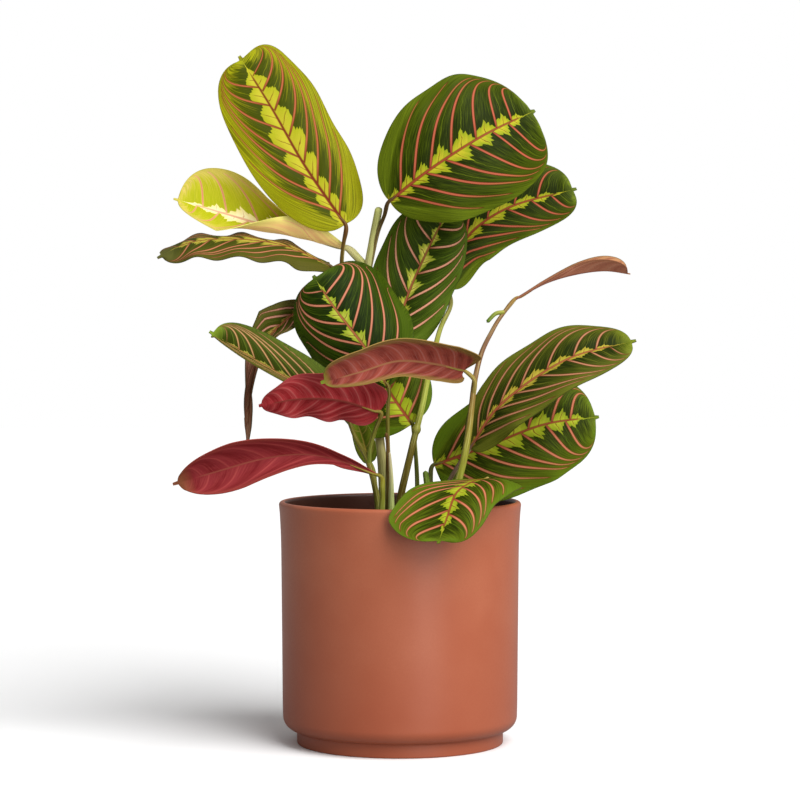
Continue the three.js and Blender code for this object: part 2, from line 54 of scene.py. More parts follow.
# %% Camera
MM = 0.001
IMAGE_SIDE = 800
POINTS_PER_RADIAN = 2676
SENSOR_WIDTH = 36
CAMERA_PLACE = (0.0, -1545.0, 252.0)
CAMERA_PITCH = 1.99

lens = bpy.data.cameras.new("camera")
lens.sensor_width = SENSOR_WIDTH
lens.lens = SENSOR_WIDTH * POINTS_PER_RADIAN / IMAGE_SIDE
camera = bpy.data.objects.new("camera", lens)
camera.location = np.array(CAMERA_PLACE) * MM
camera.rotation_euler = (np.radians(90 - CAMERA_PITCH), 0, 0)
bpy.context.scene.collection.objects.link(camera)
bpy.context.scene.camera = camera
print("lens:", round(lens.lens, 1), "mm")

# %% [markdown]
# ## Routes
# A midrib or a stem is a smooth line through a few points. A Catmull-Rom spline passes through each
# point and needs no handles. It is read at even steps of its length, or a leaf would stretch between
# points that lie far apart.

# %% Routes
FINE_STEPS = 400


def unit(v):
    return v / np.maximum(np.linalg.norm(v, axis=-1, keepdims=True), 1e-9)


def route(points, shares):
    """Places and directions at shares of the length of a line through the points, and its length.
    Between b and c, with a before and d after, a place is half of 2b + (c - a) w
    + (2a - 5b + 4c - d) w^2 + (3b - a - 3c + d) w^3, and the ends go on straight."""
    p = np.array(points, float)
    p = np.vstack([2 * p[0] - p[1], p, 2 * p[-1] - p[-2]])
    spans = len(p) - 3

    def at(u):
        i = np.minimum((u * spans).astype(int), spans - 1)
        w = (u * spans - i)[:, None]
        a, b, c, d = p[i], p[i + 1], p[i + 2], p[i + 3]
        square = 2 * a - 5 * b + 4 * c - d
        cube = 3 * b - a - 3 * c + d
        place = (2 * b + (c - a) * w + square * w**2 + cube * w**3) / 2
        return place, (c - a) / 2 + square * w + 1.5 * cube * w**2

    fine = np.linspace(0, 1, FINE_STEPS + 1)
    steps = np.linalg.norm(np.diff(at(fine)[0], axis=0), axis=1)
    run = np.concatenate([[0], np.cumsum(steps)])
    place, direction = at(np.interp(np.asarray(shares, float) * run[-1], run, fine))
    return place, unit(direction), run[-1]


quarter = [(10, 0, 0), (7.07, 7.07, 0), (0, 10, 0)]
print("a 15.7 mm arc through three points comes out", round(route(quarter, [0.0, 1.0])[2], 1), "mm")

# %% [markdown]
# ## The leaves
# Each leaf is one curved surface. Its midrib is a route, and at each place on it a section runs out to
# both margins: it leaves the midrib at an angle (fold) and bends evenly on from there (curl). The
# table holds what was chosen for each leaf, in millimetres and degrees. halves, widest and
# fullness give the outline left and right of the midrib, faces the way that the upper face looks at the
# base and at the tip, lobes how far the halves reach back at the base and on at the tip, and wave the
# ripple of the margins. veins, vein and feather are the number of side veins, their width and the reach
# of the yellow feather, and lean is how steeply the veins run to the tip. Pairs are left and right, and
# what a leaf doesn't name is as usual.

# %% Leaf table
LEAVES = {
    "leaf_tall_left": dict(
        midrib=[(-32, 14, 300), (-56, 20, 335), (-75, 28, 368), (-95, 42, 400)],
        halves=(29, 29), widest=(0.52, 0.56), fullness=(2.3, 2.9),
        faces=((0.1, -1, 0.35), (0.1, -1, 0.3)), fold=((10, 6), (8, 0)), curl=((-25, -20), (-25, -20)),
        lobes=((0.1, 0.2), (0.1, 0.5)), wave=(1, 3, 0), look=("young", "pale"), slot="leaf_lime",
        veins=9, vein=0.9, feather=10, lean=1.45),
    "leaf_pale_unrolling": dict(
        midrib=[(-32, 28, 287), (-59, 30, 294), (-94, 28, 304), (-132, 18, 315)],
        halves=(22, 25), widest=(0.5, 0.74), fullness=(2.4, 2.2),
        faces=((0, -0.5, 0.85), (0, -0.5, 0.85)), fold=((0, -10, -20, -20, -10), (30, 35, 40, 40)),
        curl=((90, 190, 110, 30, 20), (100, 160, 110, 40, 10)), look=("newest", "rosy"),
        slot="leaf_lime", veins=7, vein=0.6, feather=7),
    "leaf_narrow_left": dict(
        midrib=[(-41, 16, 276), (-65, 8, 287), (-93, 0, 291), (-120, -6, 289), (-139, -10, 280)],
        halves=(20, 20), fullness=(2.4, 2.4), faces=((0, -0.6, 0.8), (0, -0.6, 0.8)), fold=(12, -20),
        curl=(-20, -15), wave=(1.8, 4, 0), look=("aged", "brown"), veins=9, vein=0.85, feather=7,
        lean=1.6),
    "leaf_top_round": dict(
        midrib=[(-6, 2, 313), (17, 0, 331), (48, 6, 351), (79, 28, 367)],
        halves=(42, 40), widest=(0.58, 0.6), fullness=(2.25, 2.5),
        faces=((0.1, -1, 0.25), (0.2, -1, 0.25)), fold=(6, 6), curl=(-30, -35),
        lobes=((0.15, 0), (0.15, 0.15)), wave=(1, 3, 1), look=("mature", "brown"), veins=8.7, vein=1.1,
        feather=10, lean=1.35),
    "leaf_back_right": dict(
        midrib=[(29, 46, 263), (38, 52, 291), (64, 60, 311), (106, 66, 323)],
        halves=(25, 20), widest=(0.55, 0.55), fullness=(2.3, 2.4),
        faces=((0.1, -1, 0.3), (0.2, -1, 0.3)), fold=(10, 5), curl=(-20, -30),
        lobes=((0, 0.1), (0, 0.3)), wave=(1, 3, 0), look=("mature", "brown"), veins=8, vein=0.95,
        feather=5.5, lean=1.2),
    "leaf_back_middle": dict(
        midrib=[(-5, 34, 228), (5, 36, 260), (17, 38, 287), (30, 42, 312)],
        halves=(25, 24), widest=(0.6, 0.48), fullness=(2.4, 2.4), faces=((0, -1, 0.1), (0, -1, 0.1)),
        fold=(16, 16), curl=(-30, -30), wave=(0.8, 3, 0), look=("sheltered", "brown"), veins=7,
        vein=1.05, feather=7, lean=1.2),
    "leaf_round_middle": dict(
        midrib=[(-7, -2, 206), (-19, -6, 227), (-38, -6, 252), (-50, -2, 270)],
        halves=(30, 43), widest=(0.42, 0.6), fullness=(2.6, 2.8),
        faces=((-0.1, -1, 0.3), (-0.1, -1, 0.4)), fold=(0, 0), curl=(-50, -60),
        lobes=((0, 0.1), (0, 0.2)), wave=(0.6, 3, 0), look=("shaded", "brown"), veins=7, vein=1.05,
        feather=6.5, lean=2.05),
    "leaf_drooping_left": dict(
        midrib=[(-52, 26, 254), (-67, 20, 244), (-81, 14, 227), (-87, 14, 200), (-89, 16, 173)],
        halves=(19, 16), widest=(0.3, 0.3), fullness=(0.9, 0.9),
        faces=((-0.4, -1, 0.5), (-0.15, -1, 0)), fold=((5, 50, 66, 74), (40, 60, 66, 74)),
        curl=((0, 8), (0, 8)), look=("withering", "brown"), veins=9, vein=1, feather=4),
    "leaf_folded_left": dict(
        midrib=[(-33, -8, 194), (-57, -12, 207), (-82, -14, 221), (-109, -14, 238)],
        halves=(14, 17), fullness=(2.2, 2.6), faces=((0, -1, 0.25), (0, -1, 0.25)), fold=(70, 5),
        curl=(0, -20), look=("narrow", "brown"), veins=9, vein=0.65, feather=2.6, lean=1.9),
    "leaf_turned_upper": dict(
        midrib=[(36, -22, 216), (20, -36, 220), (-1, -50, 222), (-22, -58, 216), (-44, -60, 210)],
        halves=(22, 12), widest=(0.38, 0.3), fullness=(3.4, 2), faces=((0, 0.9, 0.4), (0, 0.9, 0.4)),
        fold=(0, -15), curl=(-60, (-100, -95, -60)), look=("mature", "russet"), slot="leaf_red",
        veins=8, vein=0.7, feather=7),
    "leaf_turned_middle": dict(
        midrib=[(-12, -18, 192), (-34, -24, 199), (-57, -28, 200), (-80, -30, 196)],
        halves=(18, 13), widest=(0.34, 0.4), fullness=(1.8, 2), faces=((0, 0.8, 0.4), (0, 0.8, 0.4)),
        fold=(0, 0), lobes=((0.3, 0), (0.1, 0)), wave=(2.2, 3, 1), look=("mature", "crimson"),
        slot="leaf_red", veins=9, vein=0.8, feather=6),
    "leaf_turned_low": dict(
        midrib=[(-12, -22, 156), (-31, -30, 164), (-53, -38, 169), (-77, -46, 167), (-103, -50, 160),
                (-127, -52, 153)],
        halves=(17, 16), widest=(0.72, 0.72), fullness=(1.6, 1.6),
        faces=((0.1, 0.8, 0.6), (-0.1, 0.9, 0.5)), fold=(5, (-85, -60, -25)), curl=(-30, -50),
        look=("mature", "burgundy"), slot="leaf_red", veins=7, vein=0.8, feather=6),
    "leaf_low_middle": dict(
        midrib=[(7, 8, 184), (-5, 14, 201), (-16, 19, 220), (-25, 24, 236)],
        halves=(31, 25), fullness=(2.4, 2.4), faces=((0, -1, 0.2), (0, -1, 0.2)), fold=(5, 5),
        curl=(-20, -20), look=("lush", "brown"), veins=6, vein=1, feather=12.5, lean=1.2),
    "leaf_right_upper": dict(
        midrib=[(40, -14, 171), (58, -24, 197), (94, -30, 222), (134, -26, 233)],
        halves=(21.5, 20), widest=(0.58, 0.54), fullness=(2.1, 2.3),
        faces=((0.1, -0.9, 0.6), (0.1, -0.9, 0.6)), fold=(5, 25), curl=(-25, -30), wave=(1, 3, 1),
        look=("striped", "brown"), veins=9, vein=0.85, feather=4.5, lean=1.2),
    "leaf_right_lower": dict(
        midrib=[(20, 10, 160), (52, 6, 172), (84, 6, 184), (116, 14, 188)],
        halves=(30, 33), widest=(0.54, 0.48), fullness=(2.6, 2.6),
        faces=((0.1, -1, 0.35), (0.1, -1, 0.2)), fold=(5, 5), curl=(-30, -30), wave=(0.8, 3, 0),
        look=("sunny", "brown"), veins=8.7, vein=1.1, feather=10.5, lean=1.4),
    "leaf_over_lip": dict(
        midrib=[(49, -30, 155), (40, -51, 154), (31, -70, 149), (26, -81, 137), (21, -87, 123)],
        halves=(24, 32), widest=(0.36, 0.74), fullness=(2.8, 1.5),
        faces=((-0.25, -0.4, 1), (-0.45, -1, 0.45)), fold=(0, 0), curl=(-30, 20),
        lobes=((0.3, 0), (-0.4, 0.55)), look=("sunny", "brown"), veins=8, vein=1.05, feather=8,
        lean=1.2),
    "leaf_withered_right": dict(
        midrib=[(67, 6, 257), (84, 5, 266), (101, 4, 271), (118, 2, 273), (133, 2, 271)],
        halves=(9, 9), widest=(0.85, 0.85), fullness=(2.2, 2.2), faces=((0, -0.2, 1), (0, -0.2, 1)),
        fold=((80, 30), (80, 30)), curl=((40, 20), (40, 20)), look=("dried", "dried_under"),
        slot="leaf_dry", veins=6, vein=0.7, feather=1),
    "leaf_small_low": dict(
        midrib=[(-17, 2, 162), (-20, 2, 170), (-22, 2, 177), (-25, 2, 186)],
        halves=(7, 6), fullness=(2.2, 2.2), faces=((0.3, -1, 0), (0.3, -1, 0)), fold=(30, 30),
        look=("olive", "pale"), veins=4, vein=0.4, feather=1),
}
USUAL = dict(widest=(0.5, 0.5), curl=(0, 0), lobes=((0, 0), (0, 0)), wave=(0, 1, 0), slot="leaf_green",
             lean=1)
LEAVES = {name: USUAL | leaf for name, leaf in LEAVES.items()}
print("leaves:", len(LEAVES))

# %% [markdown]
# ## The surface of a blade
# The outline is a full oval with a small point at its tip. A section that leaves at an angle f and
# bends on by c has gone (sin(f + c h) - sin f) / c across and (cos f - cos(f + c h)) / c up by the
# share h of its width. All rows and columns are worked out at once as arrays.

# %% Surface of a blade
BASE_HALF_WIDTH = 0.8
OPEN_HALF_WIDTH = 6
OUTLINE_SHARE = 0.975
TIP_SHARE = 0.07
TIP_START = 0.85
TIP_LENGTH = 0.1
LEFT_TO_RIGHT_WAVE = 2.1
LEAST_CURL = 1e-4
ROW_MM = 0.62
COLUMN_MM = 0.9
FEWEST_ROWS = 24
FEWEST_COLUMNS = 6


def outline_at(t, widest, fullness):
    """Half width at shares t of the length, as a share of the greatest: (1 - |2 p^k - 1|^n)^(1/n), where
    p^k is a half at the widest place, with a small point added at the tip."""
    skew = np.log(0.5) / np.log(widest)
    place = np.minimum(t / OUTLINE_SHARE, 1)
    oval = np.maximum(1 - np.abs(2 * place**skew - 1) ** fullness, 0) ** (1 / fullness)
    tip = np.where(t > TIP_START, TIP_SHARE * np.minimum((1 - t) / TIP_LENGTH, 1), 0)
    return np.hypot(oval, tip)


def read_along(values, t):
    """A value given once, or at even steps from base to tip, read at shares t."""
    values = np.atleast_1d(values)
    return np.interp(t, np.linspace(0, 1, len(values)), values)


def blade_surface(leaf):
    """The middle surface of a blade on a grid of rows from base to tip and columns from the right
    margin to the left: its places, the way that it faces, and the shares and half widths there."""
    _, _, length = route(leaf["midrib"], [0.0, 1.0])
    rows = max(FEWEST_ROWS, round(length / ROW_MM))
    columns = max(FEWEST_COLUMNS, round(max(leaf["halves"]) / COLUMN_MM))
    t = 0.5 - 0.5 * np.cos(np.pi * np.linspace(0, 1, rows + 1))
    s = np.linspace(-1, 1, 2 * columns + 1)
    middle, forward, length = route(leaf["midrib"], t)
    start, end = np.array(leaf["faces"], float)
    face = start + (end - start) * t[:, None]
    normal = unit(face - (face * forward).sum(1, keepdims=True) * forward)
    left = np.cross(normal, forward)

    def on_side(left_values, right_values):
        return np.where(s < 0, right_values[:, None], left_values[:, None])

    width = on_side(*(outline_at(t, *side) for side in zip(leaf["widest"], leaf["fullness"])))
    half = np.where(s < 0, leaf["halves"][1], leaf["halves"][0]) * width + BASE_HALF_WIDTH
    opened = np.radians(np.minimum(half / OPEN_HALF_WIDTH, 1))
    fold, curl = (opened * on_side(*(read_along(values, t) for values in leaf[key]))
                  for key in ("fold", "curl"))
    curl = np.where(np.abs(curl) < LEAST_CURL, LEAST_CURL, curl)
    h = np.abs(s)[None]
    angle = fold + curl * h
    across = half * (np.sin(angle) - np.sin(fold)) / curl
    up = half * (np.cos(fold) - np.cos(angle)) / curl
    height, count, phase = leaf["wave"]
    swing = np.sin(2 * np.pi * count * t[:, None] + phase + np.where(s < 0, LEFT_TO_RIGHT_WAVE, 0))
    ripple = height * h**2 * swing * np.sqrt(width)
    across = across - ripple * np.sin(angle)
    up = up + ripple * np.cos(angle)
    left_lobes, right_lobes = np.array(leaf["lobes"], float)
    base_lobe, tip_lobe = np.where(s < 0, right_lobes[:, None], left_lobes[:, None])
    sweep = half * h * (tip_lobe * t[:, None] ** 2 - base_lobe * (1 - t[:, None]) ** 2)
    outward = np.where(s < 0, -1.0, 1.0)[None, :, None] * left[:, None]
    turn = np.where(h > 0, angle, 0)[..., None]
    places = (middle[:, None] + outward * across[..., None] + normal[:, None] * up[..., None]
              + forward[:, None] * sweep[..., None])
    facing = normal[:, None] * np.cos(turn) - outward * np.sin(turn)
    return places, facing, t, s, half, length


longest = max(route(leaf["midrib"], [0.0, 1.0])[2] for leaf in LEAVES.values())
print("longest blade:", round(longest, 1), "mm")

# %% [markdown]
# ## The veins as a field
# A side vein leaves the midrib at a place t0 and leans towards the tip, more and more as it nears the
# margin: t = t0 + (1 - t0) lean(h) g(t0). The lowest veins lean least, so g grows from the base on. Read
# the other way round, each point of the blade belongs to one t0, and counting veins along t0 gives a
# number, the phase, that is a whole and a half on every vein. It is smooth, so it is stored at the
# corners of the mesh, and the material draws lines from it that stay sharp however near one looks.

# %% Veins as a field
LEAN_STRAIGHT = 0.34
LEAN_BENT = 0.32
LEAN_POWER = 4
LEAN_MOST = 0.97
LEAN_AT_BASE = 0.5
LEAN_FULL_FROM = 0.3
STARTS = np.linspace(-2, 1, 1201)
CROWDING = 0.3
SIDE_SHIFT = -0.3
FIRST_VEIN = (-0.02, 0.01)
LAST_VEIN = (0.86, 0.9)
SPACING_MM = (1, 30)
VEIN_AT_RIB = 0.55
VEIN_FULL_MM = 4
VEIN_THINS = (0.55, 0.93)
VEIN_THINNED = 0.65
VEIN_ENDS = (0.9, 0.97)
WIDE_SHARE = 0.625
FIELD_FROM = (-0.25, 0.12)
FIELD_TO = (0.84, 1.04)
MIDRIB_HALF = 0.7
RIB_ENDS = (0.84, 0.95)
FEATHER_AT = (0.0, 0.12, 0.28, 0.45, 0.62, 0.75, 0.85, 0.92, 1.0)
FEATHER_REACH = (0.5, 0.66, 0.85, 1.0, 1.0, 0.8, 0.4, 0.03, 0.0)
LEAST_REACH = 0.01


def smooth_step(value, low, high):
    """0 below low, 1 above high and 3x^2 - 2x^3 between them."""
    x = np.clip((value - low) / (high - low), 0, 1)
    return x * x * (3 - 2 * x)


def vein_starts(t, h, steep):
    """Where on the midrib the vein through each row t and column h starts: the rule above, with the lean
    times steep, turned round by reading it off a fine scale of starts for every column."""
    grown = LEAN_AT_BASE + (1 - LEAN_AT_BASE) * smooth_step(STARTS, 0, LEAN_FULL_FROM)
    lean = np.minimum(steep * (LEAN_STRAIGHT * h + LEAN_BENT * h**LEAN_POWER), LEAN_MOST)
    return np.stack([np.interp(t, STARTS + (1 - STARTS) * one * grown, STARTS) for one in lean], -1)


def field_spacing(places, phase):
    """Millimetres from vein to vein: one over the slope of the phase on the surface. With e, f and g the
    products of the steps down and over the grid, the slope squared is (g a^2 - 2 f a b + e b^2) over
    (e g - f^2), where a and b are the steps of the phase."""
    down, over = np.gradient(places, axis=0), np.gradient(places, axis=1)
    a, b = np.gradient(phase, axis=0), np.gradient(phase, axis=1)
    e, f, g = (down * down).sum(-1), (down * over).sum(-1), (over * over).sum(-1)
    slope = g * a**2 - 2 * f * a * b + e * b**2
    return np.clip(np.sqrt((e * g - f**2).clip(1e-9) / slope.clip(1e-9)), *SPACING_MM)


def blade_fields(leaf, places, t, s, half, length):
    """What the finish needs at each corner: vein_field holds the phase, the millimetres from vein to
    vein and half a vein's width. feather_field holds the distance from the midrib as a share of the
    feather's reach, how far past the dark field the point is, and the distance to the midrib's edge.
    grain_field holds the millimetres along and across, and to the margin. leaf_field has the shares of
    the length and of the width."""
    along, h, side = np.broadcast_arrays(t[:, None], np.abs(s)[None], np.where(s < 0, 0.0, 1.0)[None])
    start = vein_starts(t, np.abs(s), leaf["lean"])
    phase = leaf["veins"] * (start + CROWDING * np.sin(2 * np.pi * start) / (2 * np.pi))
    spacing = field_spacing(places, phase)
    from_rib = h * half
    width = VEIN_AT_RIB + (1 - VEIN_AT_RIB) * smooth_step(from_rib, 0, VEIN_FULL_MM)
    width = width * leaf["vein"] / 2 * np.minimum(half / (WIDE_SHARE * max(leaf["halves"])), 1)
    width = width * (1 - VEIN_THINNED * smooth_step(h, *VEIN_THINS))
    hidden = smooth_step(h, *VEIN_ENDS) + 1 - smooth_step(start, *FIRST_VEIN)
    width = width - 2 * (hidden + smooth_step(start, *LAST_VEIN))
    reach = np.maximum(leaf["feather"] * np.interp(start, FEATHER_AT, FEATHER_REACH), LEAST_REACH)
    past = h + 1 - smooth_step(start, *FIELD_FROM) * (1 - smooth_step(start, *FIELD_TO))
    rib = from_rib - MIDRIB_HALF * (1 - along) ** 0.5 + smooth_step(along, *RIB_ENDS)
    return {
        "vein_field": np.stack([phase + SIDE_SHIFT * side, spacing, width], -1),
        "feather_field": np.stack([from_rib / reach, past, rib], -1),
        "grain_field": np.stack([start * length, from_rib * np.sign(s), (1 - h) * half], -1),
        "leaf_field": np.stack([along, h, 0 * h], -1),
    }


half_way = vein_starts(np.array([0.5]), np.array([1.0]), 1)[0, 0]
print("the vein that meets the margin half way starts at", round(half_way, 3))

# %% [markdown]
# ## Pieces
# Blender keeps a shape in a mesh, and an object places it. Every piece here is one mesh made from arrays of
# corners and faces, which is quicker and surer than modelling with operators. It rides on the body root and
# hides the plain piece that it stands for. Fields kept at its corners tell its finish where it is.

# %% Pieces
def make_piece(name, places, faces, materials, slot, node=None, fields=None, under=None, sharp=50):
    """A mesh piece on the body root. places are in millimetres, faces are lists of corners, fields are
    named vectors or colours at the corners, and under is true for the faces with the second material.
    Edges that bend by more than sharp degrees stay crisp."""
    mesh = bpy.data.meshes.new(name)
    mesh.from_pydata((np.asarray(places) * MM).tolist(), [], faces)
    for material in materials:
        mesh.materials.append(material)
    if under is not None:
        mesh.polygons.foreach_set("material_index", np.asarray(under, np.int32))
    for field, values in (fields or {}).items():
        kind = "FLOAT_COLOR" if values.shape[-1] == 4 else "FLOAT_VECTOR"
        store = mesh.attributes.new(field, kind, "POINT")
        key = "color" if kind == "FLOAT_COLOR" else "vector"
        store.data.foreach_set(key, np.asarray(values, np.float32).ravel())
    mesh.polygons.foreach_set("use_smooth", np.ones(len(mesh.polygons), bool))
    mesh.set_sharp_from_angle(angle=np.radians(sharp))
    piece = bpy.data.objects.new(name, mesh)
    bpy.context.scene.collection.objects.link(piece)
    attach(piece, "root")
    if node:
        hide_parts(node)
    return piece


# %% [markdown]
# ## A blade as a mesh
# The blade is far thinner than it is wide, so it is a pair of skins over the middle surface, closed
# round the margin. The upper skin sinks a little at the veins and swells between them, as the real
# blade is quilted, and the midrib stands out below as a ridge. The two skins carry two materials.

# %% Blade mesh
SKIN = 0.24
QUILT = 0.4
QUILT_SPACING = 9
QUILT_FULL_MM = 5
QUILT_ENDS = (0.8, 1)
RIB_SPREAD = 1.1
RIB_DEPTH = 0.3
RIB_RIDGE = 0.75
RIDGE_TO = 1.05


def grid_faces(rows, columns):
    """Four-cornered faces of a grid of corners, and the number of each corner."""
    at = np.arange((rows + 1) * (columns + 1)).reshape(rows + 1, columns + 1)
    return np.stack([at[:-1, :-1], at[1:, :-1], at[1:, 1:], at[:-1, 1:]], -1).reshape(-1, 4), at


def make_leaf(name, leaf, upper, lower):
    """Builds one leaf from its surface, quilted, and closed round its margin."""
    places, facing, t, s, half, length = blade_surface(leaf)
    fields = blade_fields(leaf, places, t, s, half, length)
    phase, spacing = fields["vein_field"][..., 0], fields["vein_field"][..., 1]
    h = np.abs(s)[None]
    from_rib = h * half
    pillow = QUILT * np.minimum(spacing / QUILT_SPACING, 1) * np.abs(np.sin(np.pi * (phase - 0.5)))
    pillow = pillow * smooth_step(from_rib, 0, QUILT_FULL_MM) * (1 - smooth_step(h, *QUILT_ENDS))
    crest = np.exp(-(from_rib / RIB_SPREAD) ** 2)
    groove = RIB_DEPTH * crest * (1 - t[:, None])
    ridge = RIB_RIDGE * crest * (RIDGE_TO - t[:, None])
    top = places + facing * (SKIN + pillow - groove)[..., None]
    bottom = places + facing * (pillow - SKIN - ridge)[..., None]
    faces, at = grid_faces(len(t) - 1, len(s) - 1)
    count = at.size
    edge = np.concatenate([at[:-1, 0], at[-1, :-1], at[:0:-1, -1], at[0, :0:-1]])
    after = np.roll(edge, -1)
    margin = np.stack([after, edge, edge + count, after + count], -1)
    all_faces = np.concatenate([faces, faces[:, ::-1] + count, margin])
    is_under = np.concatenate([np.zeros(len(faces)), np.ones(len(faces) + len(margin))])
    both = {key: np.concatenate([v.reshape(-1, 3)] * 2) for key, v in fields.items()}
    points = np.concatenate([top.reshape(-1, 3), bottom.reshape(-1, 3)])
    return make_piece(name + "_blade", points, all_faces.tolist(), [upper, lower], leaf["slot"], name,
                      both, is_under)


print("blade thickness:", 2 * SKIN, "mm")

# %% [markdown]
# ## Materials
# A material is a small net of nodes that ends in a shader. Colours are written as they are picked on a
# screen, in sRGB, while the renderer adds light in linear values, so one function turns them. One more adds
# a node and wires it. A finish is painted like the real one, coat on coat, so coats are laid by their
# shares, and then the finish is wired to the shader.

# %% Materials
def linear(colour):
    """An sRGB hex colour as linear red, green, blue and alpha: ((c + 0.055) / 1.055) to the power 2.4,
    or c / 12.92 where c is dark."""
    c = np.array([int(colour[i:i + 2], 16) for i in (1, 3, 5)]) / 255
    return (*np.where(c > 0.04045, ((c + 0.055) / 1.055) ** 2.4, c / 12.92), 1.0)


def add(tree, kind, inputs=(), **settings):
    """Adds a shader node of a kind with its settings. inputs are links or constants, in order or by
    place. Returns the node's outputs."""
    node = tree.nodes.new("ShaderNode" + kind)
    for name, value in settings.items():
        setattr(node, name, value)
    for place, value in inputs.items() if isinstance(inputs, dict) else enumerate(inputs):
        if isinstance(value, bpy.types.NodeSocket):
            tree.links.new(value, node.inputs[place])
        else:
            node.inputs[place].default_value = value
    return node.outputs


def coats(tree, base, *layers):
    """Colours laid over a base one after another, each by its share: below (1 - share) + above share. A
    colour is a link or an sRGB hex value."""
    for share, colour in layers:
        below, above = (linear(c) if isinstance(c, str) else c for c in (base, colour))
        base = add(tree, "Mix", {0: share, 6: below, 7: above}, data_type="RGBA")[2]
    return base


def new_material(name, roughness, specular, ior=1.45):
    """A material with one Principled shader, and its node tree and shader."""
    material = bpy.data.materials.new(name)
    material.use_nodes = True
    tree = material.node_tree
    shader = tree.nodes["Principled BSDF"]
    shader.inputs["Roughness"].default_value = roughness
    shader.inputs["Specular IOR Level"].default_value = specular
    shader.inputs["IOR"].default_value = ior
    return material, tree, shader


def wire(tree, shader, colour, height, strength, relief, gloss=None, glow=0):
    """Wires a finish: its colour, the bumps that a height raises by relief millimetres, its gloss where
    that varies, and for a thin young leaf the light that comes through it, painted as an emitted glow."""
    bump = add(tree, "Bump", {"Height": height, "Strength": strength, "Distance": relief * MM})[0]
    tree.links.new(colour, shader.inputs["Base Color"])
    tree.links.new(bump, shader.inputs["Normal"])
    if gloss is not None:
        tree.links.new(gloss, shader.inputs["Roughness"])
    if glow:
        tree.links.new(colour, shader.inputs["Emission Color"])
        shader.inputs["Emission Strength"].default_value = glow


print("mid grey as light:", round(float(linear("#808080")[0]), 3))

# %% [markdown]
# ## What both faces read
# The four fields of a leaf come to its materials as attributes. From them follow streaks along the veins,
# half a millimetre wide and nearly a centimetre long, a slow mottle, and the distance from a vein.

# %% What both faces read
STREAK_MM = (0.55, 9.0)
MOTTLE_MM = 7.0


def gap(tree, place, at):
    """How far a place is from another: |place - at|."""
    between = add(tree, "Math", [place, at], operation="SUBTRACT")[0]
    return add(tree, "Math", [between], operation="ABSOLUTE")[0]


def read_leaf(tree, detail):
    """The fields of a leaf, with its streaks and its mottle. aside is |fract(phase) - 0.5|, as a share of
    the way from vein to vein, and off_vein the millimetres from the edge of the nearest vein."""
    fields = {key: add(tree, "Attribute", attribute_name=key + "_field")[1]
              for key in ("vein", "feather", "grain", "leaf")}
    phase, spacing, width = add(tree, "SeparateXYZ", [fields["vein"]])
    from_rib, past, rib = add(tree, "SeparateXYZ", [fields["feather"]])
    along, share, _ = add(tree, "SeparateXYZ", [fields["leaf"]])
    edge = add(tree, "SeparateXYZ", [fields["grain"]])[2]
    scale = (1 / STREAK_MM[0], 1 / STREAK_MM[1], 0)
    stretched = add(tree, "VectorMath", [fields["grain"], scale], operation="MULTIPLY")[0]
    streaks = add(tree, "TexNoise", {"Vector": stretched, "Scale": 1.0, "Detail": 3.0})[0]
    mottle = add(tree, "TexNoise", {"Vector": fields["grain"], "Scale": 1 / MOTTLE_MM, "Detail": detail})[0]
    aside = gap(tree, add(tree, "Math", [phase], operation="FRACT")[0], 0.5)
    far = add(tree, "Math", [aside, spacing], operation="MULTIPLY")[0]
    off_vein = add(tree, "Math", [far, width], operation="SUBTRACT")[0]
    return SimpleNamespace(phase=phase, spacing=spacing, from_rib=from_rib, past=past, rib=rib, along=along,
                           share=share, edge=edge, stretched=stretched, streaks=streaks, mottle=mottle,
                           aside=aside, off_vein=off_vein)


print("streaks:", STREAK_MM[0], "by", STREAK_MM[1], "mm")

# %% [markdown]
# ## The upper face
# A prayer plant's leaf is a live, satin surface. Its colour is the whole look: a near-black green field
# with fine streaks along the veins, a lighter ragged margin, salmon veins with a thin dark outline, and
# beside the midrib a yellow-green feather with a toothed lobe on the tip side of every vein. A colour
# ramp holds the outline of a lobe from one vein to the next. Masks come first, and then the coats.

# %% Upper face
LOBE = [(0.0, 0.34), (0.08, 0.5), (0.2, 0.62), (0.26, 0.52), (0.42, 1.0), (0.5, 0.64), (0.62, 0.72),
        (0.68, 0.42), (0.8, 0.42), (0.87, 0.2), (0.97, 0.12)]
BLUNT_LOBE = [(0.0, 0.86), (0.12, 0.98), (0.26, 0.94), (0.36, 1.0), (0.44, 0.88), (0.54, 0.9), (0.62, 0.72),
              (0.72, 0.74), (0.8, 0.58), (0.9, 0.6), (0.97, 0.52)]
SPARSE_LOBE = [(0.0, 0.04), (0.08, 0.2), (0.2, 0.5), (0.26, 0.4), (0.42, 1.0), (0.5, 0.6), (0.62, 0.66),
               (0.68, 0.3), (0.8, 0.26), (0.87, 0.08), (0.97, 0.03)]
LOBE_MIDDLE = 0.42


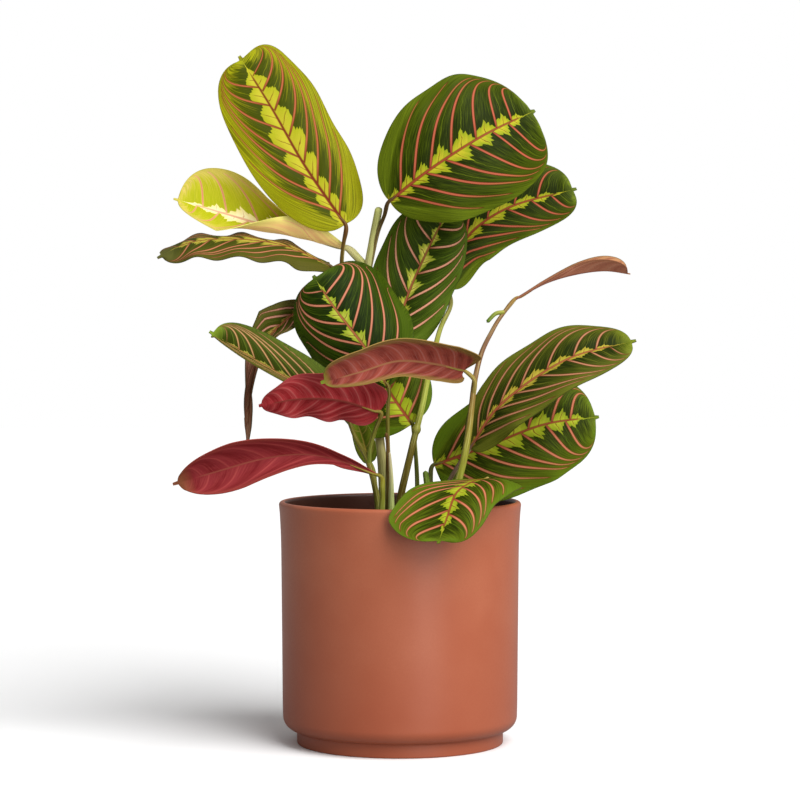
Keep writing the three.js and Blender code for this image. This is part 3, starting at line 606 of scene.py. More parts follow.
def upper_face(name, field, streak, margin, feather, feather_edge, vein, outline, midrib, end,
               end_from=0.93, end_share=0.5, reach=0.93, ragged=0.12, soft=0.07, glow=0.0, lobe=LOBE,
               hairlines=0.6, edge_line="#2c3a10", roughness=0.46):
    """The live upper face of a leaf. Its wax gives a soft sheen, so the roughness is middling."""
    material, tree, shader = new_material(name, roughness, 0.05)
    leaf = read_leaf(tree, 2.0)
    patches = add(tree, "TexNoise", {"Vector": leaf.stretched, "Scale": 0.4, "Detail": 4.0})[0]
    # The feather: a lobe starts at each vein and has died away by the next one, each a little its own.
    shifted = add(tree, "Math", [leaf.phase, 0.5], operation="SUBTRACT")[0]
    which = add(tree, "Math", [shifted], operation="FLOOR")[0]
    chance = add(tree, "TexWhiteNoise", {"W": which}, noise_dimensions="1D")[0]
    tall = add(tree, "MapRange", [chance, 0.0, 1.0, 0.82, 1.1])[0]
    bent = add(tree, "MapRange", [leaf.mottle, 0.3, 0.7, -0.05, 0.05])[0]
    lobe_place = add(tree, "Math", [shifted], operation="FRACT")[0]
    lobe_at = add(tree, "Math", [lobe_place, bent], operation="ADD")[0]
    profile = add(tree, "ValToRGB", [lobe_at])[0]
    stops = profile.node.color_ramp.elements
    while len(stops) < len(lobe):
        stops.new(0.5)
    for stop, (position, height) in zip(stops, lobe):
        stop.position = position
        stop.color = (height, height, height, 1)
    lobe_height = add(tree, "Math", [profile, tall], operation="MULTIPLY")[0]
    inside = add(tree, "Math", [lobe_height, leaf.from_rib], operation="SUBTRACT")[0]
    # A fine vein runs up the middle of each lobe, and past some of them it goes on as a pale hair.
    fine = add(tree, "Math", [gap(tree, lobe_at, LOBE_MIDDLE), leaf.spacing], operation="MULTIPLY")[0]
    # Each row is a link, the two values that it is read between, and what the mask is at either.
    rows = dict(
        vein=[leaf.off_vein, 0.12, -0.12, 0.0, 1.0],
        outline=[leaf.off_vein, 0.5, 0.1, 0.0, 0.85],
        feather=[inside, -0.02, 0.02, 0.0, 1.0],
        feather_depth=[inside, 0.02, 0.55, 0.0, 1.0],
        fine=[fine, 0.32, 0.1, 0.0, 1.0],
        in_lobe=[leaf.from_rib, 0.8, 0.5, 0.0, 0.8],
        hair=[fine, 0.3, 0.06, 0.0, 1.0],
        chosen=[chance, 0.35, 0.45, 0.0, hairlines],
        fading=[leaf.share, 0.85, 0.45, 0.0, 1.0],
        outer=[leaf.past, 0.15, 0.9, -0.13, 0.13],
        rough_edge=[patches, 0.3, 0.7, -ragged, ragged],
        coarse=[patches, 0.45, 0.56, 0.0, 0.75],
        fine_tone=[leaf.streaks, 0.45, 0.65, 0.0, 0.55],
        end=[leaf.along, end_from, end_from + 0.08, 0.0, end_share],
        near_rib=[leaf.from_rib, 1.0, 0.2, 0.0, 0.85],
        near_edge=[leaf.share, 0.6, 0.95, 0.0, 0.5],
        rib_side=[leaf.rib, 0.6, 0.05, 0.0, 0.8],
        rib=[leaf.rib, 0.1, -0.2, 0.0, 1.0],
        edge=[leaf.edge, 0.5, 0.2, 0.0, 0.55],
        gloss=[leaf.mottle, 0.2, 0.8, roughness - 0.06, roughness + 0.08],
    )
    mask = SimpleNamespace(**{key: add(tree, "MapRange", row)[0] for key, row in rows.items()})
    is_fine = add(tree, "Math", [mask.fine, mask.in_lobe], operation="MULTIPLY")[0]
    some_hairs = add(tree, "Math", [mask.hair, mask.chosen], operation="MULTIPLY")[0]
    is_hair = add(tree, "Math", [some_hairs, mask.fading], operation="MULTIPLY")[0]
    # The field is deepest beside the feather and streakier further out, to a ragged margin.
    lit = add(tree, "Math", [leaf.streaks, mask.outer], operation="ADD")[0]
    beyond = add(tree, "Math", [leaf.past, mask.rough_edge], operation="ADD")[0]
    tone = add(tree, "MapRange", [lit, 0.38, 0.68, 0.0, 1.0])[0]
    is_margin = add(tree, "MapRange", [beyond, reach - soft, reach + soft, 0.0, 1.0])[0]
    streaky = coats(tree, margin, (mask.coarse, streak), (mask.fine_tone, edge_line))
    yellow = coats(tree, feather_edge, (mask.feather_depth, feather))
    # A vein is deep red at the midrib, salmon along the blade and half green at its end.
    vein_colour = coats(tree, vein, (mask.near_rib, midrib), (mask.near_edge, margin))
    colour = coats(tree, field, (tone, streak), (is_margin, streaky), (is_hair, margin),
                   (mask.feather, yellow), (is_fine, outline), (mask.end, end), (mask.outline, outline),
                   (mask.vein, vein_colour), (mask.rib_side, outline), (mask.rib, midrib),
                   (mask.edge, edge_line))
    # The streaks catch the light, and the veins lie in fine furrows.
    height = add(tree, "Math", [leaf.streaks, mask.vein], operation="SUBTRACT")[0]
    wire(tree, shader, colour, height, 0.35, 0.15, mask.gloss, glow)
    return material


print("stops of a lobe:", len(LOBE))

# %% [markdown]
# ## The underside
# Below, the leaf is coloured by red pigment under a thin dull skin, strongest between the veins. The
# veins show as paler ridges, the midrib as a tan one, and towards the margin the green comes through.

# %% Underside
def under_face(name, field, band, vein, midrib, margin, end="#7a6434", end_from=0.95, streaky=0.5,
               margin_from=0.86, roughness=0.55, glow=0.0):
    """The matt underside of a leaf, pigmented between its raised veins."""
    material, tree, shader = new_material(name, roughness, 0.05)
    leaf = read_leaf(tree, 3.0)
    rows = dict(
        vein=[leaf.off_vein, 0.35, -0.35, 0.0, 0.75],
        between=[leaf.aside, 0.12, 0.4, 0.0, 1.0],
        blotch=[leaf.mottle, 0.35, 0.65, 0.3, 1.0],
        tone=[leaf.streaks, 0.45, 0.75, 0.0, streaky],
        rough_edge=[leaf.streaks, 0.3, 0.7, -0.06, 0.06],
        rib=[leaf.rib, 0.35, -0.1, 0.0, 1.0],
        end=[leaf.along, end_from, end_from + 0.06, 0.0, 0.9],
    )
    mask = SimpleNamespace(**{key: add(tree, "MapRange", row)[0] for key, row in rows.items()})
    in_band = add(tree, "Math", [mask.between, mask.blotch], operation="MULTIPLY")[0]
    beyond = add(tree, "Math", [leaf.share, mask.rough_edge], operation="ADD")[0]
    is_margin = add(tree, "MapRange", [beyond, margin_from - 0.12, margin_from + 0.1, 0.0, 0.85])[0]
    colour = coats(tree, field, (in_band, band), (mask.tone, vein), (is_margin, margin), (mask.vein, vein),
                   (mask.rib, midrib), (mask.end, end))
    height = add(tree, "Math", [leaf.streaks, mask.vein], operation="ADD")[0]
    wire(tree, shader, colour, height, 0.4, 0.2, glow=glow)
    return material


# %% [markdown]
# ## The looks of the leaves
# The newest leaves are lime with a cream feather, and they darken as they age until only the feather
# is pale. A withered one is tan all over. The sunny looks are a lighter copy of the grown leaf's colours,
# as painted light, and the shaded look is a darker copy, as painted shade; the copy of the shaded look
# with lighter colours is painted light again. One function with nine colours makes them all, so that a
# new look is one more row.

# %% Looks of the leaves
UPPER_COLOURS = "field streak margin feather feather_edge vein outline midrib end".split()


def upper(row, **settings):
    """The look of an upper face: its colours in the order of their names, and its settings."""
    return dict(zip(UPPER_COLOURS, row.split())) | settings


UPPER = {
    "mature": upper("#1e2802 #485608 #6c7c14 #b8ae2a #8c9818 #b45c42 #561c0c #94402a #6c7c34"),
    # painted light: a lighter copy of the grown leaf's colours
    "sunny": upper("#283204 #5c6c10 #5c7816 #b2ba30 #8c9c1c #c87858 #6c2c14 #9c4a30 #7c8c2c", reach=0.9,
                   ragged=0.16, edge_line="#3c4c10"),
    "striped": upper("#222c08 #5c6218 #707424 #c2ae44 #a0942c #b87e5e #64301a #a8583c #7c8c24", reach=0.84,
                     ragged=0.16, end_from=0.9),
    # painted shade: a darker copy of the grown leaf's colours
    "shaded": upper("#182604 #3c5008 #4a5e10 #b4b844 #8ea024 #c47c60 #4e2410 #a8603e #5c7028", reach=0.98,
                    lobe=SPARSE_LOBE),
    # painted light: the shaded look with lighter colours
    "sheltered": upper("#2a3a0a #546a16 #647c20 #e4dc60 #8ea024 #e8a484 #4e2410 #a8603e #5c7028",
                       reach=0.98, lobe=SPARSE_LOBE),
    # painted light: the sunny colours again, with blunt lobes
    "lush": upper("#283204 #5c6c10 #5c7816 #a8b428 #8c9c1c #c87858 #6c2c14 #9c4a30 #7c8c2c", reach=0.9,
                  ragged=0.16, edge_line="#3c4c10", lobe=BLUNT_LOBE),
    "young": upper("#3c4403 #545a05 #a8aa12 #b8b02c #a4a61a #b0603c #6c2c10 #742c16 #7c8420", reach=0.6,
                   ragged=0.34, soft=0.03, edge_line="#6c500c", lobe=BLUNT_LOBE, hairlines=0.3),
    # painted light: a faint glow stands for the light through the thin young blade
    "newest": upper("#a2a613 #bab42e #d4bc62 #f4eabc #ecdc94 #cc7c60 #d0a070 #dca088 #b0ac30", reach=0.72,
                    ragged=0.25, edge_line="#94943c", hairlines=0.2, glow=0.08),
    "aged": upper("#3c420c #545418 #5c5420 #c0b044 #989030 #b87854 #5e2c14 #8c4a30 #5c5c2a", end_from=0.86,
                  end_share=0.9),
    "withering": upper("#424c10 #606028 #6c6430 #c4ac54 #a0943c #d0947c #6c3420 #b0704c #a0745c",
                       end_from=0.42, end_share=0.9),
    "narrow": upper("#303c05 #4c5810 #5c6c1c #c0ac54 #98963a #bc9060 #62401c #b08050 #80982c", end_from=0.9,
                    end_share=0.85, hairlines=0.9),
    "dried": upper("#b0764c #bc8c60 #ac7c58 #c08660 #b87c58 #9c5a44 #9c6048 #8c5040 #a86c50",
                   roughness=0.6),
    "olive": upper("#4c5a10 #66701a #6c7c20 #7c8c2c #6c7c24 #8c7c34 #5c5c20 #8c7c34 #7c8830"),
}
upper_finish = {name: upper_face("live_leaf_" + name, **values) for name, values in UPPER.items()}
print("upper finishes:", len(upper_finish))

# %% [markdown]
# ## The undersides and the leaves
# The red of an underside is the same pigment as in a red cabbage. It is full on grown leaves and thin on
# young ones, so a few looks serve all eighteen leaves. Then every leaf is built with its two finishes.

# %% Undersides and leaves
UNDER_COLOURS = "field band vein midrib margin end".split()


def under(row, **settings):
    """The look of an underside, in the same way."""
    return dict(zip(UNDER_COLOURS, row.split())) | settings


UNDER = {
    "brown": under("#7c3834 #642828 #8c5a44 #a88050 #5c5828"),
    "pale": under("#9c8c54 #8a7440 #b8a468 #b8a468 #8c9c3c"),
    # painted light: a glow stands for the light through the thin young blade
    "rosy": under("#f0d480 #e4b878 #e08e7c #dcb478 #d0cc6c #c8c060", streaky=0.4, roughness=0.45, glow=0.3),
    "russet": under("#a44e40 #782e26 #b8746a #a87450 #9a8444 #84a030", end_from=0.93, margin_from=0.68),
    "crimson": under("#a63034 #86191e #be605c #8c3c34 #a44444 #8c2c30"),
    "burgundy": under("#862c30 #6f1a1e #a44642 #8c4438 #944038 #845034", end_from=0.9, streaky=0.6),
    "dried_under": under("#b07258 #9c5c46 #b88066 #985c4a #a06a4c #94643c"),
}
under_finish = {name: under_face("leaf_underside_" + name, **values) for name, values in UNDER.items()}

triangles = 0
for name, leaf in LEAVES.items():
    top_look, under_look = leaf["look"]
    piece = make_leaf(name, leaf, upper_finish[top_look], under_finish[under_look])
    triangles += 2 * len(piece.data.polygons)
print("leaf triangles:", triangles)

# %% [markdown]
# ## The stems
# Each stem is one or more round rods that taper. A petiole swells to a smooth joint under its leaf and
# runs out along the midrib, so here it goes on for a little under the blade, where the plain rod stops
# just short of it. Sheaths are paler, and an old stub carries no leaf.

# %% Stem table
def rod(points, radii, skin, leaf=None, rooted=False, swelling=None):
    """One rod: its points, its radius at either end, the colours of its skin from foot to head, the leaf
    that it carries, and the place and radius of a swollen joint."""
    return dict(points=points, radii=radii, skin=skin.split(), leaf=leaf, rooted=rooted, swelling=swelling)


STEMS = {
    "stem_back": dict(slot="stem_pale", rods=[
        rod([(-9, 8, 128), (-10, 10, 157), (-12, 16, 177), (-14, 26, 196), (-17, 28, 217),
            (-19, 28, 241), (-20, 27, 265), (-16, 19, 290), (-12, 10, 310)], (3, 2.2),
            "#8c9444 #a8a064 #ccc07c #dcd892 #ccd07c", rooted=True),
        rod([(-20, 27, 262), (-17, 23, 278), (-13, 15, 295), (-9, 7, 305)], (1.5, 1),
            "#a8a868 #7c6a3c #4f3d22 #54351f", "leaf_top_round"),
        rod([(-19, 25, 274), (-25, 27, 281)], (2.7, 1.7), "#c0c468 #e4dc9c #ecdca0",
            "leaf_pale_unrolling"),
        rod([(-18, 28, 224), (-25, 28, 239), (-32, 24, 256), (-34, 20, 275), (-33, 17, 288)],
            (1.5, 1.1), "#84902c #788430 #78702c #684420 #5c341c", "leaf_tall_left"),
        rod([(-24, 28, 236), (-32, 24, 255), (-37, 20, 268)], (1.4, 1.1), "#7c8446 #6a5c34 #5c3c24",
            "leaf_narrow_left"),
        rod([(-18, 28, 224), (-32, 31, 240), (-44, 29, 251)], (1.3, 1), "#8a9450 #7c6a3c #6a4a30",
            "leaf_drooping_left"),
    ]),
    "stem_left": dict(slot="stem_green", rods=[
        rod([(-12, -12, 130), (-14, -12, 147), (-19, -10, 165), (-26, -9, 178)], (2.2, 1.1),
            "#748030 #6c641c #787024 #8a7430", "leaf_folded_left", rooted=True),
        rod([(-14, -12, 148), (-15, -2, 156)], (1.3, 1), "#7a8438 #868c3c", "leaf_small_low"),
        rod([(-18, -10.3, 162), (-17, -12, 171), (-14, -13, 182)], (1.4, 1), "#74842c #787028 #a08434",
            "leaf_turned_middle"),
    ]),
    "stem_low_left": dict(slot="stem_green", rods=[
        rod([(-11, -26, 129), (-10, -26, 142), (-10, -26, 149)], (2.9, 1.1), "#788834 #888828 #9c7c34",
            "leaf_turned_low", rooted=True),
    ]),
    "sheath_middle": dict(slot="stem_pale", rods=[
        rod([(-5, -14, 130), (-5, -14, 153), (-6, -13, 169)], (3, 0.7),
            "#8ca048 #a8b868 #bcbc84 #c0b48c", rooted=True),
    ]),
    "stub_old": dict(slot="stem_brown", rods=[
        rod([(-7, -8, 129), (-7, -8, 158), (-7, -8, 172), (-8, -10, 180)], (1.8, 1),
            "#78782c #64581c #5c441c #704c28", rooted=True),
    ]),
    "stem_round_middle": dict(slot="stem_green", rods=[
        rod([(-6, -1, 129), (-6, -1, 152), (-7, 0, 175), (-7, 2, 193)], (1.4, 1.1),
            "#647024 #64641c #786424", "leaf_round_middle", rooted=True),
    ]),
    "stem_tall_right": dict(slot="stem_green", rods=[
        rod([(-2, 4, 129), (1, 4, 145), (5, 4, 162), (9, 4, 179), (13, 5, 195), (16, 9, 210),
            (20, 16, 226), (24, 28, 240), (30, 39, 253)], (2.4, 1.2),
            "#746a24 #5c5018 #6c6020 #b0b850 #a0a438 #8c9038 #807c40 #74603c", "leaf_back_right",
            rooted=True, swelling=((9.5, 4, 181), 3)),
        rod([(21, 18, 229), (15, 30, 226), (4, 37, 222)], (1.4, 1.1), "#8c8c48 #7a6c40 #6c5436",
            "leaf_back_middle"),
    ]),
    "stem_low_middle": dict(slot="stem_green", rods=[
        rod([(10, 10, 128), (10, 10, 151), (9, 9, 169)], (1.6, 1.1), "#50601c #4c581c #58541c",
            "leaf_low_middle", rooted=True),
    ]),
    "shoot_young": dict(slot="stem_green", rods=[
        rod([(18, -8, 129), (16, -8, 147), (14.5, -8, 158)], (2.9, 1.6),
            "#749834 #7ca03c #74942c #546c1c", rooted=True),
    ]),
    "stem_right_lower": dict(slot="stem_green", rods=[
        rod([(19, 3, 129), (19, 6, 142), (18, 10, 151)], (1.7, 1.1), "#55602a #4c5a26 #6c5c30",
            "leaf_right_lower", rooted=True),
    ]),
    "stem_right_upper": dict(slot="stem_brown", rods=[
        rod([(22, -14, 130), (25, -14, 145), (32, -14, 159)], (1.6, 1.1), "#6c6440 #6f5a48 #6a4a3a",
            "leaf_right_upper", rooted=True),
    ]),
    "stem_far_right": dict(slot="stem_green", rods=[
        rod([(31, -28, 131), (32, -28, 148), (36, -27, 164), (39, -24, 180), (41, -20, 196),
            (43, -15, 211), (47, -9, 226), (53, -3, 238), (58, 2, 246)], (2.6, 1),
            "#84942c #8c942c #8c8c30 #907c38 #84603c #7c5840 #84603c #b0903c", "leaf_withered_right",
            rooted=True),
        rod([(42, -18, 202), (42.5, -20, 210)], (1.4, 0.9), "#9a8a48 #b09a4a", "leaf_turned_upper"),
        rod([(60, 3, 249), (55, 1, 248), (50, 0, 243)], (1.3, 1.1), "#9c9c3c #5c8430"),
    ]),
    "stem_over_lip": dict(slot="stem_green", rods=[
        rod([(38, -18, 130), (40, -18, 142), (46, -22, 151)], (1.6, 1.1), "#888c2c #8c8030 #9c7434",
            "leaf_over_lip", rooted=True),
    ]),
}
print("stems:", len(STEMS))

# %% [markdown]
# ## The surface of a rod
# A rod is a circle carried along its route. Its radius tapers and swells at joints, and faint ribs run
# along it. The circle is turned along the route by the least amount, so that the ribs don't wind.

# %% Surface of a rod
SOIL_TOP = 122
ROOT_DEPTH = 15
PETIOLE_GAP = 0.5
PETIOLE_UNDER = 0.6
ROD_STEP = 0.9
ROD_SIDES = 20
FEWEST_RINGS = 8
RIBS = 7
RIB_SHARE = 0.035
JOINT_MM = 7
JOINT_SHARE = 0.22
JOINT_FALL = 3
RUN_OUT = (0.0, 0.05, 0.16)
RUN_OUT_AT = (0, 0.3, 1)
RUN_OUT_RADII = (1.0, 0.75, 0.3)
RUN_OUT_SUNK = 0.45
SWELLING_SHARE = 0.85
SWELLING_REACH = 1.3
SWELLING_SKIN = 0.15


def rod_line(rod):
    """A rod's points: down into the soil where it is rooted, and on under the midrib of the leaf that it
    carries."""
    points = list(rod["points"])
    if rod["rooted"]:
        x, y, _ = points[0]
        points = [(x, y, SOIL_TOP - ROOT_DEPTH), (x, y, SOIL_TOP - ROOT_DEPTH / 2)] + points
    if rod["leaf"] is None:
        return np.array(points, float)
    leaf = LEAVES[rod["leaf"]]
    spots, forward, _ = route(leaf["midrib"], RUN_OUT)
    face = np.array(leaf["faces"][0], float)
    normal = unit(face - (face @ forward[0]) * forward[0])
    steep = np.linalg.norm(np.cross(unit(spots[0] - points[-1]), forward[0]))
    seat = spots[0] - forward[0] * (PETIOLE_GAP + rod["radii"][1] * steep) - normal * PETIOLE_UNDER * steep
    return np.vstack([points, seat, spots[1:] - normal * (SKIN + rod["radii"][1] * RUN_OUT_SUNK)])


def rod_radius(rod, points, centre, run):
    """The radius at each ring: it tapers to the seat of the leaf, swells there and runs out under the
    blade, and it grows to its own swelling. The very end is rounded."""
    length = run[-1]
    run_out = np.linalg.norm(np.diff(points[-3:], axis=0), axis=1).sum() if rod["leaf"] else 0
    body = length - run_out
    radius = np.interp(run, [0, body], rod["radii"])
    if rod["leaf"]:
        joint = np.exp(-JOINT_FALL * ((run - body + JOINT_MM / 2) / JOINT_MM) ** 2)
        last = np.clip((run - body) / run_out, 0, 1)
        radius = radius * (1 + JOINT_SHARE * joint) * np.interp(last, RUN_OUT_AT, RUN_OUT_RADII)
    if rod["swelling"]:
        place, size = rod["swelling"]
        near = np.linalg.norm(centre - np.array(place), axis=1) / (SWELLING_REACH * size)
        radius = np.maximum(radius, size * SWELLING_SHARE * np.exp(-near**2) + SWELLING_SKIN)
    tip = np.clip((length - run) / rod["radii"][1], 0, 1)
    return radius * np.sqrt(1 - (1 - tip) ** 2)


def rod_surface(rod):
    """Places of a closed tube along a rod, ring by ring, its middle, the millimetres run at each ring and
    the angles round it. A ring is centre + radius (cos a first + sin a second)."""
    points = rod_line(rod)
    length = route(points, [0.0, 1.0])[2]
    run = np.linspace(0, 1, max(FEWEST_RINGS, round(length / ROD_STEP)) + 1) * length
    centre, forward, _ = route(points, run / length)
    radius = rod_radius(rod, points, centre, run)
    first = np.zeros_like(forward)
    first[0] = unit(np.cross(forward[0], (0.0, 1.0, 0.3)))
    for i in range(1, len(forward)):
        first[i] = unit(first[i - 1] - (first[i - 1] @ forward[i]) * forward[i])
    second = np.cross(forward, first)
    a = np.linspace(0, 2 * np.pi, ROD_SIDES, endpoint=False)
    ribbed = radius[:, None] * (1 + RIB_SHARE * np.cos(RIBS * a))
    ring = np.cos(a)[None, :, None] * first[:, None] + np.sin(a)[None, :, None] * second[:, None]
    return centre[:, None] + ribbed[..., None] * ring, centre, run, a


tall = rod_surface(STEMS["stem_back"]["rods"][0])[2][-1]
print("longest rod:", round(tall, 1), "mm")

# %% [markdown]
# ## A stem as a mesh
# The rods of a stem go into one mesh: rings joined by four-cornered faces, and a fan at each end. The
# colours chosen along a rod are kept at its corners, for they differ from rod to rod, while one material
# serves every stem.

# %% Stem mesh
def tube_faces(rings, sides, first=0):
    """Faces of a tube of rings with a fan at each end, counted from the corner first."""
    at = first + np.arange(rings * sides).reshape(rings, sides)
    on = np.roll(at, -1, axis=1)
    walls = np.stack([at[:-1], on[:-1], on[1:], at[1:]], -1).reshape(-1, 4)
    foot, head = at[-1, -1] + 1, at[-1, -1] + 2
    foot_fan = [[foot, on[0, i], at[0, i]] for i in range(sides)]
    head_fan = [[head, at[-1, i], on[-1, i]] for i in range(sides)]
    return walls.tolist() + foot_fan + head_fan


def make_stem(name, stem, material):
    """Builds a stem from its rods, with their colours stored at the corners. skin is read from the soil
    up, and stem_field holds millimetres round and along the rod."""
    places, faces, skins, grains = [], [], [], []
    first = 0
    for rod in stem["rods"]:
        rings, centre, run, a = rod_surface(rod)
        faces += tube_faces(len(run), ROD_SIDES, first)
        first += len(run) * ROD_SIDES + 2
        places += [rings.reshape(-1, 3), centre[:1], centre[-1:]]
        root = ROOT_DEPTH if rod["rooted"] else 0
        visible = ((run - root) / (run[-1] - root)).clip(0, 1)
        shades = np.array([linear(colour) for colour in rod["skin"]])
        skin = np.stack([read_along(shades[:, i], visible) for i in range(4)], -1)
        skins += [np.repeat(skin, ROD_SIDES, axis=0), skin[:1], skin[-1:]]
        radius = np.mean(rod["radii"])
        x, y, z = np.broadcast_arrays(radius * np.cos(a), radius * np.sin(a), run[:, None])
        grain = np.stack([x, y, z], -1)
        grains += [grain.reshape(-1, 3), grain[0, :1], grain[-1, :1]]
    fields = {"skin": np.concatenate(skins), "stem_field": np.concatenate(grains)}
    make_piece(name + "_skin", np.concatenate(places), faces, [material], stem["slot"], name, fields)


print("faces of a closed tube of two rings:", len(tube_faces(2, ROD_SIDES)))

# %% [markdown]
# ## The skin of the stems
# A petiole has a thin waxy skin over fine lengthwise fibres, which show as streaks half a millimetre
# wide. Its colour runs from pale green at the sheath to brown under the leaf.

# %% Skin of the stems
FIBRE_MM = (0.5, 14.0)


def stem_skin():
    """Waxy green skin with fine fibres along it. Each rod's own colours come from its corners."""
    material, tree, shader = new_material("waxy_petiole_skin", 0.45, 0.15)
    skin = add(tree, "Attribute", attribute_name="skin")[0]
    place = add(tree, "Attribute", attribute_name="stem_field")[1]
    scale = (1 / FIBRE_MM[0], 1 / FIBRE_MM[0], 1 / FIBRE_MM[1])
    stretched = add(tree, "VectorMath", [place, scale], operation="MULTIPLY")[0]
    fibres = add(tree, "TexNoise", {"Vector": stretched, "Scale": 1.0, "Detail": 3.0})[0]
    low = add(tree, "MapRange", [fibres, 0.5, 0.28, 0.0, 0.55])[0]
    high = add(tree, "MapRange", [fibres, 0.52, 0.72, 0.0, 0.35])[0]
    colour = coats(tree, skin, (low, "#4a340c"), (high, "#e4dc90"))
    wire(tree, shader, colour, fibres, 0.4, 0.15)
    return material


petiole_skin = stem_skin()
for name, stem in STEMS.items():
    make_stem(name, stem, petiole_skin)

print("stems made:", len(STEMS))

# %% [markdown]
# ## The pot
# The pot is slip-cast or thrown ceramic, fired with a satin terracotta-coloured glaze. It is a straight
# cylinder that flares to a rounded lip and steps in to a foot. Its profile is turned round the axis with
# enough sides to look round, and its corners are arcs.

# %% Pot
POT_HEIGHT = 140
LIP_RADIUS = 70
WAIST_RADIUS = 68
WALL = 4
LIP_ROUND = 2
FOOT_RADIUS = 59.7
FOOT_HEIGHT = 8
CORNER_ROUND = 8
FLOOR_THICKNESS = 6
FOOT_ROUND = 0.8
STEP_ROUND = 0.9
WALL_HEIGHTS = (FOOT_HEIGHT + CORNER_ROUND, 25, 60, 90, 111, 118, 123, 128, 133, POT_HEIGHT - LIP_ROUND)
WALL_SWELL = (-0.2, 0, 0.25, 0.5, 0.7, 0.84, 1, 1.25, 1.5, 2)
WALL_ROWS = 60
INSIDE_ROWS = 40
INSIDE_UPRIGHT_FROM = 120
POT_SIDES = 224
ARC_STEPS = 14


def arc(x, z, radius, start, end):
    """Points on a circle about (x, z), from one angle to another in degrees."""
    angle = np.radians(np.linspace(start, end, ARC_STEPS + 1))
    return np.stack([x + radius * np.cos(angle), z + radius * np.sin(angle)], -1)


def pot_profile():
    """The pot's outline in radius and height: under the foot, up the outside, over the lip and down to
    the middle of the inner floor. The walls run straight from one chosen height to the next."""
    floor_top = FOOT_HEIGHT + FLOOR_THICKNESS
    z = np.linspace(WALL_HEIGHTS[0], WALL_HEIGHTS[-1], WALL_ROWS)[1:-1]
    wall = WAIST_RADIUS + np.interp(z, WALL_HEIGHTS, WALL_SWELL)
    z_in = np.linspace(WALL_HEIGHTS[-1], floor_top + LIP_ROUND, INSIDE_ROWS)[1:-1]
    inner = np.interp(z_in, [floor_top + LIP_ROUND, INSIDE_UPRIGHT_FROM], [WAIST_RADIUS, LIP_RADIUS]) - WALL
    return np.concatenate([
        [(0, 0), (FOOT_RADIUS * 0.5, 0), (FOOT_RADIUS - 2, 0)],
        arc(FOOT_RADIUS - FOOT_ROUND, FOOT_ROUND, FOOT_ROUND, -90, 0),
        [(FOOT_RADIUS, 4)],
        arc(FOOT_RADIUS + STEP_ROUND, FOOT_HEIGHT - STEP_ROUND, STEP_ROUND, 180, 90),
        arc(WAIST_RADIUS + WALL_SWELL[0] - CORNER_ROUND, WALL_HEIGHTS[0], CORNER_ROUND, -82, 0),
        np.stack([wall, z], -1),
        arc(LIP_RADIUS - LIP_ROUND, WALL_HEIGHTS[-1], LIP_ROUND, 0, 180),
        np.stack([inner, z_in], -1),
        arc(WAIST_RADIUS - WALL - LIP_ROUND, floor_top + LIP_ROUND, LIP_ROUND, 0, -90),
        [(40, floor_top), (20, floor_top), (0, floor_top)],
    ])


def turn_profile(profile, sides):
    """Turns a profile that starts and ends on the axis about Z: x = r cos a, y = r sin a."""
    a = np.linspace(0, 2 * np.pi, sides, endpoint=False)
    ring = profile[1:-1]
    places = np.stack([ring[:, :1] * np.cos(a), ring[:, :1] * np.sin(a), ring[:, 1:] + 0 * a[None]], -1)
    ends = np.array([(0, 0, profile[0][1]), (0, 0, profile[-1][1])])
    return np.concatenate([places.reshape(-1, 3), ends]), tube_faces(len(ring), sides)


profile = pot_profile()
print("pot outline:", len(profile), "points")

# %% [markdown]
# ## The glaze
# A satin glaze spreads a highlight softly and holds fine specks of iron. Low on the wall the glaze is
# painted darker, as painted shade where little light comes up from the floor. Inside the lip, above the
# soil, the wall is painted near-black brown, as painted shade in the pot's mouth. A picture of glaze
# would need a seam, so noise measured in millimetres colours the wall instead.

# %% Glaze
def pot_glaze():
    """Satin glaze over red stoneware: soft broad highlights, and fine darker specks of iron in it."""
    material, tree, shader = new_material("satin_terracotta_glaze", 0.4, 0.4, 1.5)
    place = add(tree, "TexCoord")[3]
    cloud = add(tree, "TexNoise", {"Vector": place, "Scale": 1 / (40 * MM), "Detail": 2.0})[0]
    grain = add(tree, "TexNoise", {"Vector": place, "Scale": 1 / (0.9 * MM), "Detail": 2.0})[0]
    specks = add(tree, "TexVoronoi", {"Vector": place, "Scale": 1 / (2.6 * MM)})[0]
    up = add(tree, "SeparateXYZ", [place])[2]
    level = add(tree, "VectorMath", [place, (1, 1, 0)], operation="MULTIPLY")[0]
    from_axis = add(tree, "VectorMath", [level], operation="LENGTH")[1]
    rows = dict(
        tone=[cloud, 0.3, 0.7, 0.0, 1.0],
        fine=[grain, 0.3, 0.7, 0.0, 0.25],
        # painted shade: the wall is painted darker towards the foot
        low=[up, 110 * MM, 25 * MM, 0.0, 0.5],
        # painted shade: the inside of the wall above the soil is painted near-black brown
        bare=[from_axis, 67.2 * MM, 66.4 * MM, 0.0, 0.9],
        above=[up, 20 * MM, 30 * MM, 0.0, 1.0],
        spot=[specks, 0.1, 0.04, 0.0, 0.3],
        gloss=[grain, 0.3, 0.7, 0.36, 0.44],
    )
    mask = SimpleNamespace(**{key: add(tree, "MapRange", row)[0] for key, row in rows.items()})
    painted_inner_shade = add(tree, "Math", [mask.bare, mask.above], operation="MULTIPLY")[0]
    colour = coats(tree, "#aa5c3e", (mask.tone, "#b3684a"), (mask.fine, "#a05238"), (mask.low, "#94442a"),
                   (painted_inner_shade, "#341c12"), (mask.spot, "#8a4432"))
    wire(tree, shader, colour, grain, 0.12, 0.1, mask.gloss)
    return material


places, faces = turn_profile(profile, POT_SIDES)
make_piece("pot_glazed", places, faces, [pot_glaze()], "terracotta", "pot")
print("pot faces:", len(faces))

